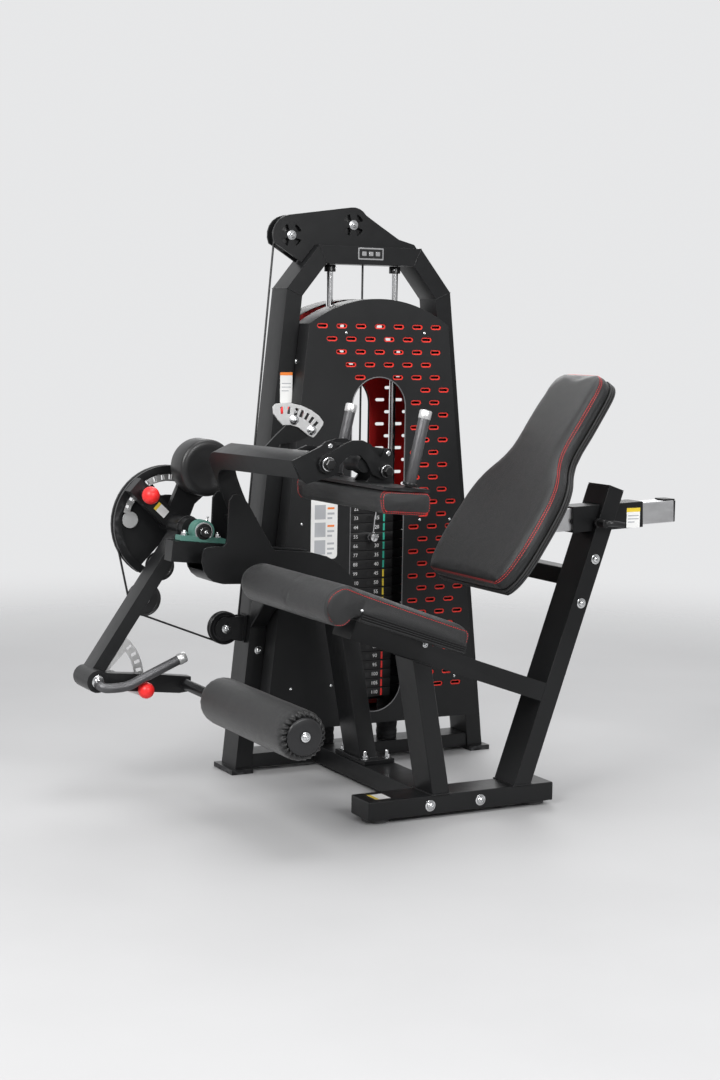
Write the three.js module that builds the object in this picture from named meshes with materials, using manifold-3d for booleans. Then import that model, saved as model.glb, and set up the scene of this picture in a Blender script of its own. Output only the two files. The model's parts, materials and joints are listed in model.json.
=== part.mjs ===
// Seated leg machine with a weight stack: welded frame, pivoting leg lever, thigh hold-down, sliding backrest.
// Millimetres, +Z up. X runs along the machine (the user faces -X), Y runs from the seat (-Y) to the weight tower (+Y).
import * as THREE from 'three';
import Module from 'manifold-3d';

// ---------- driving dimensions (mm) ----------
const ORIGIN_X = -143.67;       // offset that puts the footprint's centre on the origin
const ORIGIN_Y = 309.5;
const GAP = 0.3;                // clearance between touching pieces
const TUBE = 50;                // frame tube, narrow side
const TUBE_DEEP = 100;          // frame tube, wide side, along Y
const FLOOR_GAP = 12;           // height of the feet
const TOWER_Y0 = 668, TOWER_Y1 = 765;
const TOWER_FOOT_X = 410, TOWER_KNEE_X = 265, TOWER_TOP_X = 165;
const TOWER_FOOT_Z = 12, TOWER_KNEE_Z = 1372.5, TOWER_TOP_Z = 1495.7;
const ROD_X = 105.5, ROD_Y = 718, ROD_R = 10;
const PLATE_PITCH = 27, PLATE_THICK = 25.6, PLATES_RESTING = 17, PLATES_LIFTED = 4;
const STACK_Z0 = 193.5;         // underside of the lowest plate
const CABLE_Y = 718, CABLE_R = 3;
const PULLEY_R = 47, PULLEY_GROOVE_R = 39, PULLEY_RUN_R = 43;
const PIVOT = [-602.5, 719.7];  // lever pivot (x, z)
const COLLAR = [-872.5, 322.8]; // roller arm pivot at the lever's foot
const ROLLER = [-622, 297.5], ROLLER_R = 61.5;
const IDLER_A = [-670, 509], IDLER_B = [-623, 599];
const LOW_PULLEY = [-427.6, 413.9];
const TOP_PULLEY_L = [-239, 1521.4], TOP_PULLEY_R = [-43, 1557];
const SEAT_Y0 = -200, SEAT_Y1 = 300;
const BEAM_Z0 = 347.35, BEAM_SLOPE = -0.35;     // underside of the seat beam: z = BEAM_Z0 + BEAM_SLOPE x
const POST_SLOPE = -0.1816;                      // lean of the two seat posts
const BACK_SLOPE = 0.3523;                       // lean of the back post
const PAD_SLOPE = 0.688;                         // recline of the backrest: dx/dz
const SLIDE_ANGLE = 2.2;                         // rise of the backrest slide, degrees
const ARM_ROLL = 25;                             // roll of the thigh arm's section, degrees
const BOLT_1 = [-471, 929], BOLT_2 = [-307.5, 908.5];
const LINK_OFF = [13, 43];                       // from the main link's bolts to the parallel link's bolts
const RAD = Math.PI / 180;

// ---------- finishes ----------
const FIN = {
  frame: [0x1b1c1e, 0.5, 0.35], dark: [0x141517, 0.55, 0.2], sheet: [0x202123, 0.48, 0.3], chrome: [0xd8dadc, 0.12, 1], zinc: [0xc4c7ca, 0.3, 1],
  silver: [0xc9cccf, 0.35, 1], rubber: [0x18181a, 0.85, 0], green: [0x3d6f63, 0.45, 0.2], red: [0xe0252a, 0.28, 0], pad: [0x2a2b2e, 0.6, 0],
  plate: [0x17181a, 0.6, 0.2], cable: [0x26272a, 0.4, 0.4], grip: [0x55585b, 0.5, 0.1], cast: [0x222326, 0.6, 0.1], lanyard: [0x8d8f92, 0.5, 0.1],
};

// ---------- geometry helpers ----------
const wasm = await Module(); wasm.setup();
function toManifold(g) {
  let q = g.index ? g.toNonIndexed() : g.clone();
  const p = q.getAttribute('position'), key = new Map(), verts = [], tris = [];
  for (let i = 0; i < p.count; i++) {
    const x = p.getX(i), y = p.getY(i), z = p.getZ(i), k = `${Math.round(x * 1e4)},${Math.round(y * 1e4)},${Math.round(z * 1e4)}`;
    if (!key.has(k)) { key.set(k, verts.length / 3); verts.push(x, y, z); }
    tris.push(key.get(k));
  }
  const t = [];
  for (let i = 0; i < tris.length; i += 3) if (tris[i] !== tris[i + 1] && tris[i + 1] !== tris[i + 2] && tris[i] !== tris[i + 2]) t.push(tris[i], tris[i + 1], tris[i + 2]);
  return new wasm.Manifold(new wasm.Mesh({ numProp: 3, vertProperties: new Float32Array(verts), triVerts: new Uint32Array(t) }));
}
function fromManifold(m) {
  const mesh = m.getMesh(), g = new THREE.BufferGeometry();
  const n = mesh.numProp, v = mesh.vertProperties, pos = new Float32Array(mesh.triVerts.length * 3);
  for (let i = 0; i < mesh.triVerts.length; i++) for (let k = 0; k < 3; k++) pos[i * 3 + k] = v[mesh.triVerts[i] * n + k];
  g.setAttribute('position', new THREE.BufferAttribute(pos, 3));
  g.computeVertexNormals();
  return g;
}
const union = (...gs) => fromManifold(gs.map(toManifold).reduce((a, b) => a.add(b)));
const cut = (g, ...gs) => fromManifold(gs.map(toManifold).reduce((a, b) => a.subtract(b), toManifold(g)));
const common = (a, b) => fromManifold(toManifold(a).intersect(toManifold(b)));
const box = (x0, x1, y0, y1, z0, z1) => new THREE.BoxGeometry(x1 - x0, y1 - y0, z1 - z0).translate((x0 + x1) / 2, (y0 + y1) / 2, (z0 + z1) / 2);
// polygon given as (x, z), extruded from y0 to y1
function prism(pts, y0, y1, holes = []) {
  const s = new THREE.Shape(pts.map(([x, z]) => new THREE.Vector2(x, z)));
  for (const h of holes) s.holes.push(new THREE.Path(h.map(([x, z]) => new THREE.Vector2(x, z))));
  const g = new THREE.ExtrudeGeometry(s, { depth: y1 - y0, bevelEnabled: false, steps: 1 });
  g.rotateX(Math.PI / 2); g.translate(0, y1, 0);
  return g;
}
// polygon given as (x, y), extruded from z0 to z1
function slab(pts, z0, z1) {
  const s = new THREE.Shape(pts.map(([x, y]) => new THREE.Vector2(x, y)));
  return new THREE.ExtrudeGeometry(s, { depth: z1 - z0, bevelEnabled: false, steps: 1 }).translate(0, 0, z0);
}
function rod(a, b, r, seg = 16) {
  const A = new THREE.Vector3(...a), B = new THREE.Vector3(...b), d = B.clone().sub(A);
  const g = new THREE.CylinderGeometry(r, r, d.length(), seg);
  g.applyQuaternion(new THREE.Quaternion().setFromUnitVectors(new THREE.Vector3(0, 1, 0), d.clone().normalize()));
  const m = A.clone().add(B).multiplyScalar(0.5);
  return g.translate(m.x, m.y, m.z);
}
const cylY = (c, y0, y1, r, seg = 16) => rod([c[0], y0, c[1]], [c[0], y1, c[1]], r, seg);
// turned part about the Y direction: profile is (radius, y)
function turned(c, profile, seg = 24) {
  return new THREE.LatheGeometry(profile.map(([r, y]) => new THREE.Vector2(r, y)), seg).translate(c[0], 0, c[1]);
}
// straight bar of rectangular section between two points; w along side, h along up
function bar(a, b, w, h, side) {
  const A = new THREE.Vector3(...a), B = new THREE.Vector3(...b), d = B.clone().sub(A), len = d.length(); d.normalize();
  const s = new THREE.Vector3(...side); s.addScaledVector(d, -s.dot(d)).normalize();
  const u = new THREE.Vector3().crossVectors(d, s);
  const m = new THREE.Matrix4().makeBasis(s, d, u.clone().negate());
  const g = new THREE.BoxGeometry(w, len, h).applyMatrix4(m);
  const c = A.clone().add(B).multiplyScalar(0.5);
  return g.translate(c.x, c.y, c.z);
}
const arc = (c, r, a0, a1, n) => Array.from({ length: n + 1 }, (_, i) => { const a = (a0 + (a1 - a0) * i / n) * RAD; return [c[0] + r * Math.cos(a), c[1] + r * Math.sin(a)]; });
const polar = (c, r, a) => [c[0] + r * Math.cos(a * RAD), c[1] + r * Math.sin(a * RAD)];
class StationCurve extends THREE.Curve {   // passes its own stations one by one, so straight runs stay cheap
  constructor(p) { super(); this.p = p.map(q => new THREE.Vector3(...q)); }
  getPoint(t) { const n = this.p.length - 1, f = Math.min(Math.max(t, 0), 1) * n, i = Math.min(Math.floor(f), n - 1); return this.p[i].clone().lerp(this.p[i + 1], f - i); }
  getUtoTmapping(u) { return u; }
  getTangent(t) {
    const n = this.p.length - 1, i = Math.round(t * n), a = this.p[Math.max(i - 1, 0)], b = this.p[Math.min(i + 1, n)], c = this.p[i];
    const d = new THREE.Vector3(); if (i > 0) d.add(c.clone().sub(a).normalize()); if (i < n) d.add(b.clone().sub(c).normalize());
    return d.normalize();
  }
}
function sweep(pts, r, seg = 8) {
  const s = new THREE.Shape(Array.from({ length: seg }, (_, i) => new THREE.Vector2(r * Math.cos(2 * Math.PI * i / seg), r * Math.sin(2 * Math.PI * i / seg))));
  return new THREE.ExtrudeGeometry(s, { steps: pts.length - 1, bevelEnabled: false, extrudePath: new StationCurve(pts) });
}

// ---------- the assembly ----------
const model = new THREE.Group(); model.name = 'leg_machine';
const inner = new THREE.Group(); inner.position.set(-ORIGIN_X, -ORIGIN_Y, 0); model.add(inner);
function put(name, g, fin) {
  const [color, roughness, metalness] = FIN[fin];
  const m = new THREE.Mesh(g, new THREE.MeshStandardMaterial({ color, roughness, metalness })); m.name = name; inner.add(m); return m;
}

// floor frame
put('front_floor_bar', box(-337, 224, 0, TUBE_DEEP, FLOOR_GAP, FLOOR_GAP + TUBE), 'frame');
for (const [n, x] of [['front_foot_left', -290], ['front_foot_right', 182]])
  put(n, rod([x, 50, 0], [x, 50, FLOOR_GAP - GAP], 37, 20), 'rubber');
const innerX = z => TOWER_FOOT_X - TUBE / Math.cos(Math.atan(0.1066)) - 0.10659 * (z - TOWER_FOOT_Z);
put('floor_beam', union(
  box(-156, -56, TUBE_DEEP + GAP, 674, FLOOR_GAP, FLOOR_GAP + TUBE),
  prism([[-innerX(12) + 0.5, 12], [innerX(12) - 0.5, 12], [innerX(52) - 0.5, 52], [-innerX(52) + 0.5, 52]], 672, 761)), 'frame');

// tower: one welded arch of tube with a foot plate under each post
const outer = [[-TOWER_FOOT_X, TOWER_FOOT_Z], [-TOWER_KNEE_X, TOWER_KNEE_Z], [-TOWER_TOP_X, TOWER_TOP_Z], [TOWER_TOP_X, TOWER_TOP_Z], [TOWER_KNEE_X, TOWER_KNEE_Z], [TOWER_FOOT_X, TOWER_FOOT_Z]];
function offsetIn(p, d) {
  const L = p.slice(0, -1).map((a, i) => { const b = p[i + 1], l = Math.hypot(b[0] - a[0], b[1] - a[1]), n = [(b[1] - a[1]) / l, -(b[0] - a[0]) / l]; return [n, n[0] * a[0] + n[1] * a[1] + d]; });
  const X = ([n, c], [m, e]) => { const D = n[0] * m[1] - n[1] * m[0]; return [(c * m[1] - n[1] * e) / D, (n[0] * e - c * m[0]) / D]; };
  const out = [X(L[0], [[0, 1], p[0][1]])];
  for (let i = 1; i < L.length; i++) out.push(X(L[i - 1], L[i]));
  out.push(X(L[L.length - 1], [[0, 1], p[p.length - 1][1]]));
  return out;
}
const innerLine = offsetIn(outer, TUBE);
put('tower_frame', cut(union(prism([...outer, ...innerLine.slice().reverse()], TOWER_Y0, TOWER_Y1),
  box(-427, -361, 652, 781, 0, 14), box(361, 427, 652, 781, 0, 14)), rod([0, CABLE_Y, 1400], [0, CABLE_Y, 1510], 11, 12)), 'frame');

// pulley bracket on the tower's top
const brOutline = [[-166, 1496.6], [-207, 1447], [-277, 1490], ...arc(TOP_PULLEY_L, 57, 205, 100, 6), ...arc(TOP_PULLEY_R, 50, 100, 35, 4), [40, 1560], [106, 1521], [157, 1508], [166, 1496.6]];
const spokes = c => [0, 90, 180, 270].map(a => [...arc(c, 33, a + 22, a + 68, 4), ...arc(c, 15, a + 62, a + 28, 2)]);
const cheek = (y0, y1, holes) => { let g = prism(brOutline, y0, y1); return holes ? cut(g, ...[...spokes(TOP_PULLEY_L), ...spokes(TOP_PULLEY_R)].map(h => prism(h, y0 - 1, y1 + 1))) : g; };
put('top_pulley_bracket', cut(union(cheek(696, 702, true), cheek(734, 740, false), box(-160, 162, 701, 735, 1496.6, 1502),
  cylY(TOP_PULLEY_L, 700, 736, 7, 12), cylY(TOP_PULLEY_R, 700, 736, 7, 12)), rod([0, CABLE_Y, 1490], [0, CABLE_Y, 1508], 11, 12)), 'frame');
const pulleyGeo = (c, y = CABLE_Y, bore = 8) => turned(c, [[bore, y - 11], [PULLEY_R, y - 11], [PULLEY_R, y - 7], [PULLEY_GROOVE_R, y - 4.5], [PULLEY_GROOVE_R, y + 4.5], [PULLEY_R, y + 7], [PULLEY_R, y + 11], [bore, y + 11], [bore, y - 11]], 24);
put('top_pulley_left', pulleyGeo(TOP_PULLEY_L), 'dark');
put('top_pulley_right', pulleyGeo(TOP_PULLEY_R), 'dark');

// guide rods, stack base and weights
for (const [n, x] of [['guide_rod_left', -ROD_X], ['guide_rod_right', ROD_X]])
  put(n, union(rod([x, ROD_Y, 52.4], [x, ROD_Y, 1445.3], ROD_R, 16), rod([x, ROD_Y, 1424], [x, ROD_Y, 1445.3], 14, 16)), 'chrome');
const hole = (x, r, z0, z1) => rod([x, ROD_Y, z0], [x, ROD_Y, z1], r, 12);
put('stack_base', cut(union(rod([-ROD_X, ROD_Y, 52.4], [-ROD_X, ROD_Y, 180], 30, 16), rod([ROD_X, ROD_Y, 52.4], [ROD_X, ROD_Y, 180], 30, 16), box(-140, 140, 690, 746, 178, STACK_Z0 - GAP)),
  hole(-ROD_X, 11.5, 40, 200), hole(ROD_X, 11.5, 40, 200), hole(0, 14, 170, 200)), 'rubber');
const plan = [[-78, 651], [78, 651], [78, 682], [128, 682], [128, 775], [-128, 775], [-128, 682], [-78, 682]];
const drill = (g, z0, z1) => cut(g, hole(-ROD_X, 11.5, z0 - 1, z1 + 1), hole(ROD_X, 11.5, z0 - 1, z1 + 1), hole(0, 10.5, z0 - 1, z1 + 1));
function plates(i0, n) {
  const z = i => STACK_Z0 + PLATE_PITCH * i, parts = [];
  for (let i = i0; i < i0 + n; i++) parts.push(slab(plan, z(i), z(i) + PLATE_THICK));
  const z0 = z(i0), z1 = z(i0 + n - 1) + PLATE_THICK;
  return [drill(union(...parts, box(-55, 55, 690, 750, z0 + 1, z1 - 1)), z0, z1), z0, z1];
}
const [resting] = plates(0, PLATES_RESTING);
put('weight_plates_resting', resting, 'plate');
const PIN_Z = STACK_Z0 + PLATE_PITCH * PLATES_RESTING + PLATE_THICK / 2;
const [lifted] = plates(PLATES_RESTING, PLATES_LIFTED);
put('weight_plates_lifted', cut(lifted, box(-5.5, 5.5, 640, 712, PIN_Z - 5.5, PIN_Z + 5.5)), 'plate');
const HEAD_Z0 = STACK_Z0 + PLATE_PITCH * (PLATES_RESTING + PLATES_LIFTED), HEAD_Z1 = HEAD_Z0 + PLATE_THICK;
put('weight_head_plate', cut(union(slab(plan, HEAD_Z0, HEAD_Z1), rod([0, ROD_Y, 206], [0, ROD_Y, HEAD_Z1 + 26], 9, 16)),
  hole(-ROD_X, 11.5, HEAD_Z0 - 1, HEAD_Z1 + 1), hole(ROD_X, 11.5, HEAD_Z0 - 1, HEAD_Z1 + 1)), 'plate');
put('selector_pin', union(rod([0, 620, PIN_Z], [0, 640, PIN_Z], 13, 16), rod([0, 638, PIN_Z], [0, 706, PIN_Z], 4.5, 12)), 'zinc');

// shrouds: thin folded sheets with a window in the front one
const shroudX = z => innerX(z) - 1.5;
function shroudLine(inset, z0) {
  const zs = 1275, hw = shroudX(zs) - inset, sag = 73 - inset * 0.6, R = (hw * hw + sag * sag) / (2 * sag), half = Math.asin(hw / R) / RAD;
  return [[-(shroudX(z0) - inset), z0], [shroudX(z0) - inset, z0], ...arc([0, zs + sag - R], R, 90 - half, 90 + half, 12)];
}
const slotHole = (z0, z1, hw) => [...arc([0, z1 - hw], hw, 0, 180, 10), ...arc([0, z0 + hw], hw, 180, 360, 10)];
const FRONT_Y = 605, REAR_Y = 831;
put('front_shroud', cut(prism(shroudLine(0, 125), FRONT_Y, 690), prism(shroudLine(3, 120), FRONT_Y + 3, 700), prism(slotHole(160, 1126, 86), FRONT_Y - 5, FRONT_Y + 8)), 'sheet');
put('rear_shroud', cut(prism(shroudLine(0, 125), 746, REAR_Y), prism(shroudLine(3, 120), 740, REAR_Y - 3), prism(slotHole(160, 1126, 86), REAR_Y - 8, REAR_Y + 5)), 'sheet');

// seat frame
const beamZ = x => BEAM_Z0 + BEAM_SLOPE * x, beamTop = x => beamZ(x) + TUBE * Math.hypot(1, BEAM_SLOPE);
function meet(x0, z0, slope, line) { let z = z0; for (let i = 0; i < 40; i++) z = line(x0 + slope * (z - z0)) - GAP; return [x0 + slope * (z - z0), z]; }
const B0 = FLOOR_GAP + TUBE + GAP;
put('seat_post', prism([[-150, B0], [-98.4, B0], meet(-98.4, B0, POST_SLOPE, beamZ), meet(-150, B0, POST_SLOPE, beamZ)], 0, TUBE_DEEP), 'frame');
const backX = z => 98.7 + BACK_SLOPE * (z - 61);
function meetBack(top) { let z = 300; for (let i = 0; i < 60; i++) { const x = backX(z) - GAP; z = top ? beamTop(x) : beamZ(x); } return [backX(z) - GAP, z]; }
put('seat_beam', union(prism([[-399, beamZ(-399)], meetBack(false), meetBack(true), [-382.5, beamTop(-382.5)]], 0, TUBE_DEEP),
  prism([[-375, beamTop(-375) - 1], [-215, beamTop(-215) - 1], [-215, beamTop(-215) + 3.4], [-375, beamTop(-375) + 3.4]], -60, 160)), 'frame');
const slideDir = [Math.cos(SLIDE_ANGLE * RAD), 0, Math.sin(SLIDE_ANGLE * RAD)];
const slideAt = x => 763 + Math.tan(SLIDE_ANGLE * RAD) * (x - 222);
const slideBar = (x0, x1, w, h) => bar([x0, 50, slideAt(x0)], [x1, 50, slideAt(x1)], w, h, [0, 1, 0]);
const postTop = [378, 853.8], postN = 1 / Math.hypot(1, BACK_SLOPE);
put('back_post', cut(prism([[backX(B0), B0], [backX(B0) + 53, B0], [postTop[0] + 50 * postN, postTop[1] - 50 * postN * BACK_SLOPE], postTop], 0, TUBE_DEEP), slideBar(200, 560, 70.6, 70.6), cylY([345, 757], -10, 60, 6.6, 12)), 'frame');
put('back_slide_sleeve', cut(slideBar(275, 503, 70, 70), slideBar(200, 560, 52, 62)), 'frame');

put('slide_pin', union(cylY([345, 757], -38, -6, 11, 16), cylY([345, 757], -8, 13, 6, 12)), 'dark');
put('brace_right', box(298, 345, TUBE_DEEP + GAP, TOWER_Y0 - GAP, 580, 628), 'frame');

// backrest: a waisted pad on a flat board
const padX = z => 12 + PAD_SLOPE * (z - 723);
const nPad = [1 / Math.hypot(1, PAD_SLOPE), -PAD_SLOPE / Math.hypot(1, PAD_SLOPE)];   // out of the pad's back
const half = [[0, 160], [12, 174], [40, 190], [90, 199], [150, 200], [215, 198], [270, 190], [318, 170], [355, 142], [390, 124], [430, 118], [480, 119], [540, 117], [590, 114], [615, 107], [632, 92], [642, 70]];
function padSolid(t0, t1, shrink) {
  const pts = [...half.map(([s, w]) => [w - shrink, s]), ...half.slice().reverse().map(([s, w]) => [-(w - shrink), s])];
  const g = new THREE.ExtrudeGeometry(new THREE.Shape(pts.map(([a, b]) => new THREE.Vector2(a, b))), { depth: t1 - t0, bevelEnabled: false, steps: 1 });
  const zb = 628, up = new THREE.Vector3(PAD_SLOPE, 0, 1).normalize(), out = new THREE.Vector3(nPad[0], 0, nPad[1]), y = new THREE.Vector3(0, 1, 0);
  g.applyMatrix4(new THREE.Matrix4().makeBasis(y, up, new THREE.Vector3().crossVectors(y, up)));
  const s = new THREE.Vector3().crossVectors(y, up).dot(out) > 0 ? t0 : -t1;
  const d = new THREE.Vector3().crossVectors(y, up).multiplyScalar(s);
  return g.translate(padX(zb) + d.x, 50, zb + d.z);
}
put('backrest_pad', padSolid(0, 44, 0), 'pad');
put('back_slide_tube', cut(slideBar(70, 614, 50, 60), padSolid(-120, 64, -60)), 'chrome');
const bc = [padX(770) + nPad[0] * 62.6, 770 + nPad[1] * 62.6];
put('backrest_board', union(padSolid(44.3, 62.3, 0.6), bar([bc[0] - 0.55 * 70, 50, bc[1] - 0.8 * 70], [bc[0] + 0.55 * 70, 50, bc[1] + 0.8 * 70], 90, 2, [0, 1, 0])), 'frame');

// seat cushion: a rolled front edge and a flat seat in one cover
put('seat_pad', prism([[-491.5, 575], [-505, 561], [-522, 552.5], [-539, 552], [-556, 563], [-567, 580], [-571, 600], [-568, 618], [-556, 635], [-536, 646.5], [-515, 650.5], [-497, 645.5], [-172, 528.5], [-166, 520], [-176, 481], [-186, 477.5], [-200, 481.5], [-482, 576]], SEAT_Y0, SEAT_Y1), 'pad');

// side frame: leaning post on a bolted flange, two shaped cheeks, pivot support, brace to the tower
const SIDE_Y0 = 400, SIDE_Y1 = 500;
put('side_post', union(prism([[-150, 74], [-98.4, 74], [-98.4 + POST_SLOPE * 500, 574], [-150 + POST_SLOPE * 500, 574]], SIDE_Y0, SIDE_Y1), box(-153, -59, 370, 550, B0, 74.5)), 'frame');
const cheekLine = [[-558, 807], [-562, 714], [-566, 694], [-574, 686], [-618, 686], [-628, 682], [-634, 670], [-635, 648], [-628, 622], [-618, 606], [-601, 593], [-574, 586], [-524, 584], [-420, 556], [-262, 500], [-190, 484], [-178, 520], [-188, 584], [-212, 612], [-240, 633], [-269, 648], [-314, 660], [-380, 667], [-424, 670], [-430, 676], [-460, 725], [-502, 796], [-513, 810], [-523, 818], [-536, 824], [-547, 822]];
const T0 = [-695.6, 672], T1 = [-300, 632];
const supportTube = bar([T0[0], 475, T0[1]], [T1[0], 475, T1[1]], 49, 55, [0, 1, 0]);
put('side_cheeks', cut(union(prism(cheekLine, 392, SIDE_Y0 - GAP), prism(cheekLine, SIDE_Y1 + GAP, 508),
  prism([[-628, 622], [-618, 606], [-601, 593], [-574, 586], [-524, 584], [-523, 588.5], [-573, 590.5], [-599, 597.5], [-614.5, 609], [-623.5, 623.5]], 399, 501)), supportTube, box(-611.5, -586.5, 490, 520, 642.5, 664.5)), 'sheet');
const idlerPlate = [...arc(IDLER_A, 20, 150, 330, 6), [-594, 600], [-585, 664], [-613, 664], ...arc(IDLER_B, 20, 120, 160, 2)];
put('pivot_support', union(supportTube, box(-611, -587, 498, 741, 643, 664), prism(idlerPlate, 734, 741),
  cylY(IDLER_A, 705, 736, 7, 12), cylY(IDLER_B, 705, 736, 7, 12)), 'frame');
put('idler_pulley_upper', turned(IDLER_B, [[8, 708], [40, 708], [40, 712], [33, 714], [33, 722], [40, 724], [40, 728], [8, 728], [8, 708]], 24), 'dark');
put('idler_pulley_lower', pulleyGeo(IDLER_A), 'dark');
put('brace_left', common(bar([-345, 720, 402], [-338, 470, 636], 50, 50, [1, 0, 0]), box(-500, -200, 508 + GAP, TOWER_Y0 - GAP, 300, 700)), 'frame');

// pivot: bearing block, shaft, cam disc and its indexing plate
const tilt = Math.atan2(T1[1] - T0[1], T1[0] - T0[0]);
const blk = union(new THREE.BoxGeometry(130, 38, 13).translate(0, 475, -21.2), new THREE.CylinderGeometry(31, 31, 34, 24).translate(0, 475, 0), new THREE.BoxGeometry(56, 34, 24).translate(0, 475, -16));
put('pillow_block', cut(blk.rotateY(-tilt).translate(PIVOT[0], 0, PIVOT[1]), cylY(PIVOT, 440, 510, 12.5, 24), supportTube), 'green');
put('pivot_shaft', union(cylY(PIVOT, 450, 742, 12, 24), cylY(PIVOT, 444, 451, 8, 6)), 'zinc');
const CAM_Y0 = 703, CAM_Y1 = 733;
const rimProfile = [[138, CAM_Y0], [160, CAM_Y0], [160, CAM_Y0 + 9], [150, CAM_Y0 + 11], [150, CAM_Y0 + 19], [160, CAM_Y0 + 21], [160, CAM_Y1], [138, CAM_Y1], [138, CAM_Y0]];
const camSector = [...arc(PIVOT, 200, 33, 237, 12), polar(PIVOT, 44, 262), ...arc(PIVOT, 44, 290, 380, 3)];
const webLine = [...arc(PIVOT, 141, 34, 236, 14), polar(PIVOT, 43, 262), ...arc(PIVOT, 43, 290, 380, 3)];
const crescent = [...arc(PIVOT, 116, 42, 112, 7), ...arc(PIVOT, 78, 104, 50, 5)];
const slotAt = (c, r, a, w, l, y0, y1) => { const p = polar(c, r, a), u = [Math.cos(a * RAD), Math.sin(a * RAD)], t = [-u[1], u[0]]; return prism([[1, 1], [-1, 1], [-1, -1], [1, -1]].map(([i, j]) => [p[0] + u[0] * l / 2 * i + t[0] * w / 2 * j, p[1] + u[1] * l / 2 * i + t[1] * w / 2 * j]), y0, y1); };
put('cam_disc', cut(union(common(turned(PIVOT, rimProfile, 48), prism(camSector, 690, 745)), prism(webLine, CAM_Y0 + 11, CAM_Y0 + 19), cylY(PIVOT, CAM_Y0 + 2, CAM_Y1 - 2, 26, 24)),
  prism(crescent, 690, 745), cylY(PIVOT, 690, 745, 12.5, 24), ...[56, 67, 77, 88, 98, 108.5, 119, 148, 158].map(a => slotAt(PIVOT, 128, a, 10.5, 16, 712, 745))), 'dark');
const camBand = union(prism([...arc(PIVOT, 137, 40, 166, 12), ...arc(PIVOT, 118, 166, 40, 12)], 706, 711.7), cylY(polar(PIVOT, 113, 174), 706, 711.7, 23, 16), box(0, 0.01, 0, 0.01, 0, 0.01).translate(PIVOT[0] - 120, 708, PIVOT[1] + 45));
put('cam_index_plate', cut(camBand, ...[56, 67, 77, 88, 98, 108.5, 119, 137, 148, 158].map(a => slotAt(PIVOT, 128, a, 8.5, 13, 700, 715))), 'silver');

// leg lever: hub, tube, index arm, counterweight arm and foot collar in one weldment
const leverDir = [-0.5625, -0.8268];
const at = (d, k = leverDir) => [PIVOT[0] + k[0] * d, PIVOT[1] + k[1] * d];
const bar2 = (d0, d1, a, w, y0, y1) => { const u = [Math.cos(a * RAD), Math.sin(a * RAD)], t = [-u[1] * w / 2, u[0] * w / 2], p = [PIVOT[0] + u[0] * d0, PIVOT[1] + u[1] * d0], q = [PIVOT[0] + u[0] * d1, PIVOT[1] + u[1] * d1]; return prism([[p[0] + t[0], p[1] + t[1]], [p[0] - t[0], p[1] - t[1]], [q[0] - t[0], q[1] - t[1]], [q[0] + t[0], q[1] + t[1]]], y0, y1); };
const leverA = Math.atan2(leverDir[1], leverDir[0]) / RAD;
const INDEX_A = 137, DRUM = [-547, 881];
put('leg_lever', cut(union(cylY(PIVOT, 537, 690, 30, 24), bar2(10, 462, leverA, 35, 567, 637), cylY(COLLAR, 563, 640, 30, 24),
  bar2(10, 165, INDEX_A, 48, 645, 683), cylY(polar(PIVOT, 128, INDEX_A), 632, 646, 13, 12),
  prism([[-640, 735], [-585, 690], [-520, 850], [-575, 880]], 645, 665)),
  cylY(PIVOT, 530, 700, 12.5, 24), cylY(COLLAR, 550, 650, 14.5, 20), cylY(polar(PIVOT, 128, INDEX_A), 620, 700, 7, 12)), 'frame');
put('counterweight', turned(DRUM, [[0, 560], [66, 560], [73, 562.5], [78, 569], [78, 636], [74, 642], [67, 644.7], [0, 644.7]], 28), 'cast');
const LPIN = polar(PIVOT, 128, INDEX_A);
put('lever_pin', union(new THREE.SphereGeometry(24, 20, 14).rotateX(Math.PI / 2).translate(LPIN[0], 602, LPIN[1]), cylY(LPIN, 615, 705.5, 6, 12)), 'red');
const lowBand = prism([...arc(COLLAR, 143, 51, -22, 8), ...arc(COLLAR, 116, -22, 51, 8)], 566.3, 572);
put('lower_index_plate', cut(union(lowBand, prism([polar(COLLAR, 125, 51), polar(COLLAR, 125, 38), polar(COLLAR, 45, 25), polar(COLLAR, 45, 40)], 566.3, 572), prism([polar(COLLAR, 125, -10), polar(COLLAR, 125, -22), polar(COLLAR, 45, -22), polar(COLLAR, 45, 35), polar(COLLAR, 60, 20)], 566.3, 572)),
  ...[38, 28, 18, 8, -2, -12.4].map(a => slotAt(COLLAR, 130, a, 9, 16, 560, 580)), toLever()), 'silver');
function toLever() { return bar2(10, 470, leverA, 36, 560, 640); }

// roller arm at the lever's foot, with its hand grip, index pin and padded roller
put('roller_arm', cut(union(cylY(COLLAR, 528, 562.7, 30, 24), cylY(COLLAR, 561, 644, 14, 20), prism([[COLLAR[0] + 8, 300], [-640, 275], [-606, 278], [-606, 318], [-700, 330], [COLLAR[0] + 8, 346]], 530, 560),
  cylY(ROLLER, -207, 532, 15, 20)), cylY([-745.5, 294.5], 520, 570, 7, 12)), 'frame');
put('arm_grip', sweep([[COLLAR[0] + 1, 527.6, 315], [COLLAR[0] + 1, 513, 315], [COLLAR[0] + 8, 503, 310.5], [-846, 499, 309], [-812, 498, 310], [-785, 498, 317], [-757, 498, 329.5], [-638, 498, 380]], 13.5, 12), 'grip');
put('roller_pin', union(new THREE.SphereGeometry(22, 20, 14).rotateX(Math.PI / 2).translate(-745.5, 505, 294.5), cylY([-745.5, 294.5], 516, 566, 6, 12)), 'red');
put('foam_roller', turned(ROLLER, [[15.6, -195], [50, -195], [58, -191], [61.5, -183], [61.5, 283], [58, 291], [50, 295], [15.6, 295], [15.6, -195]], 32), 'pad');
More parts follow.
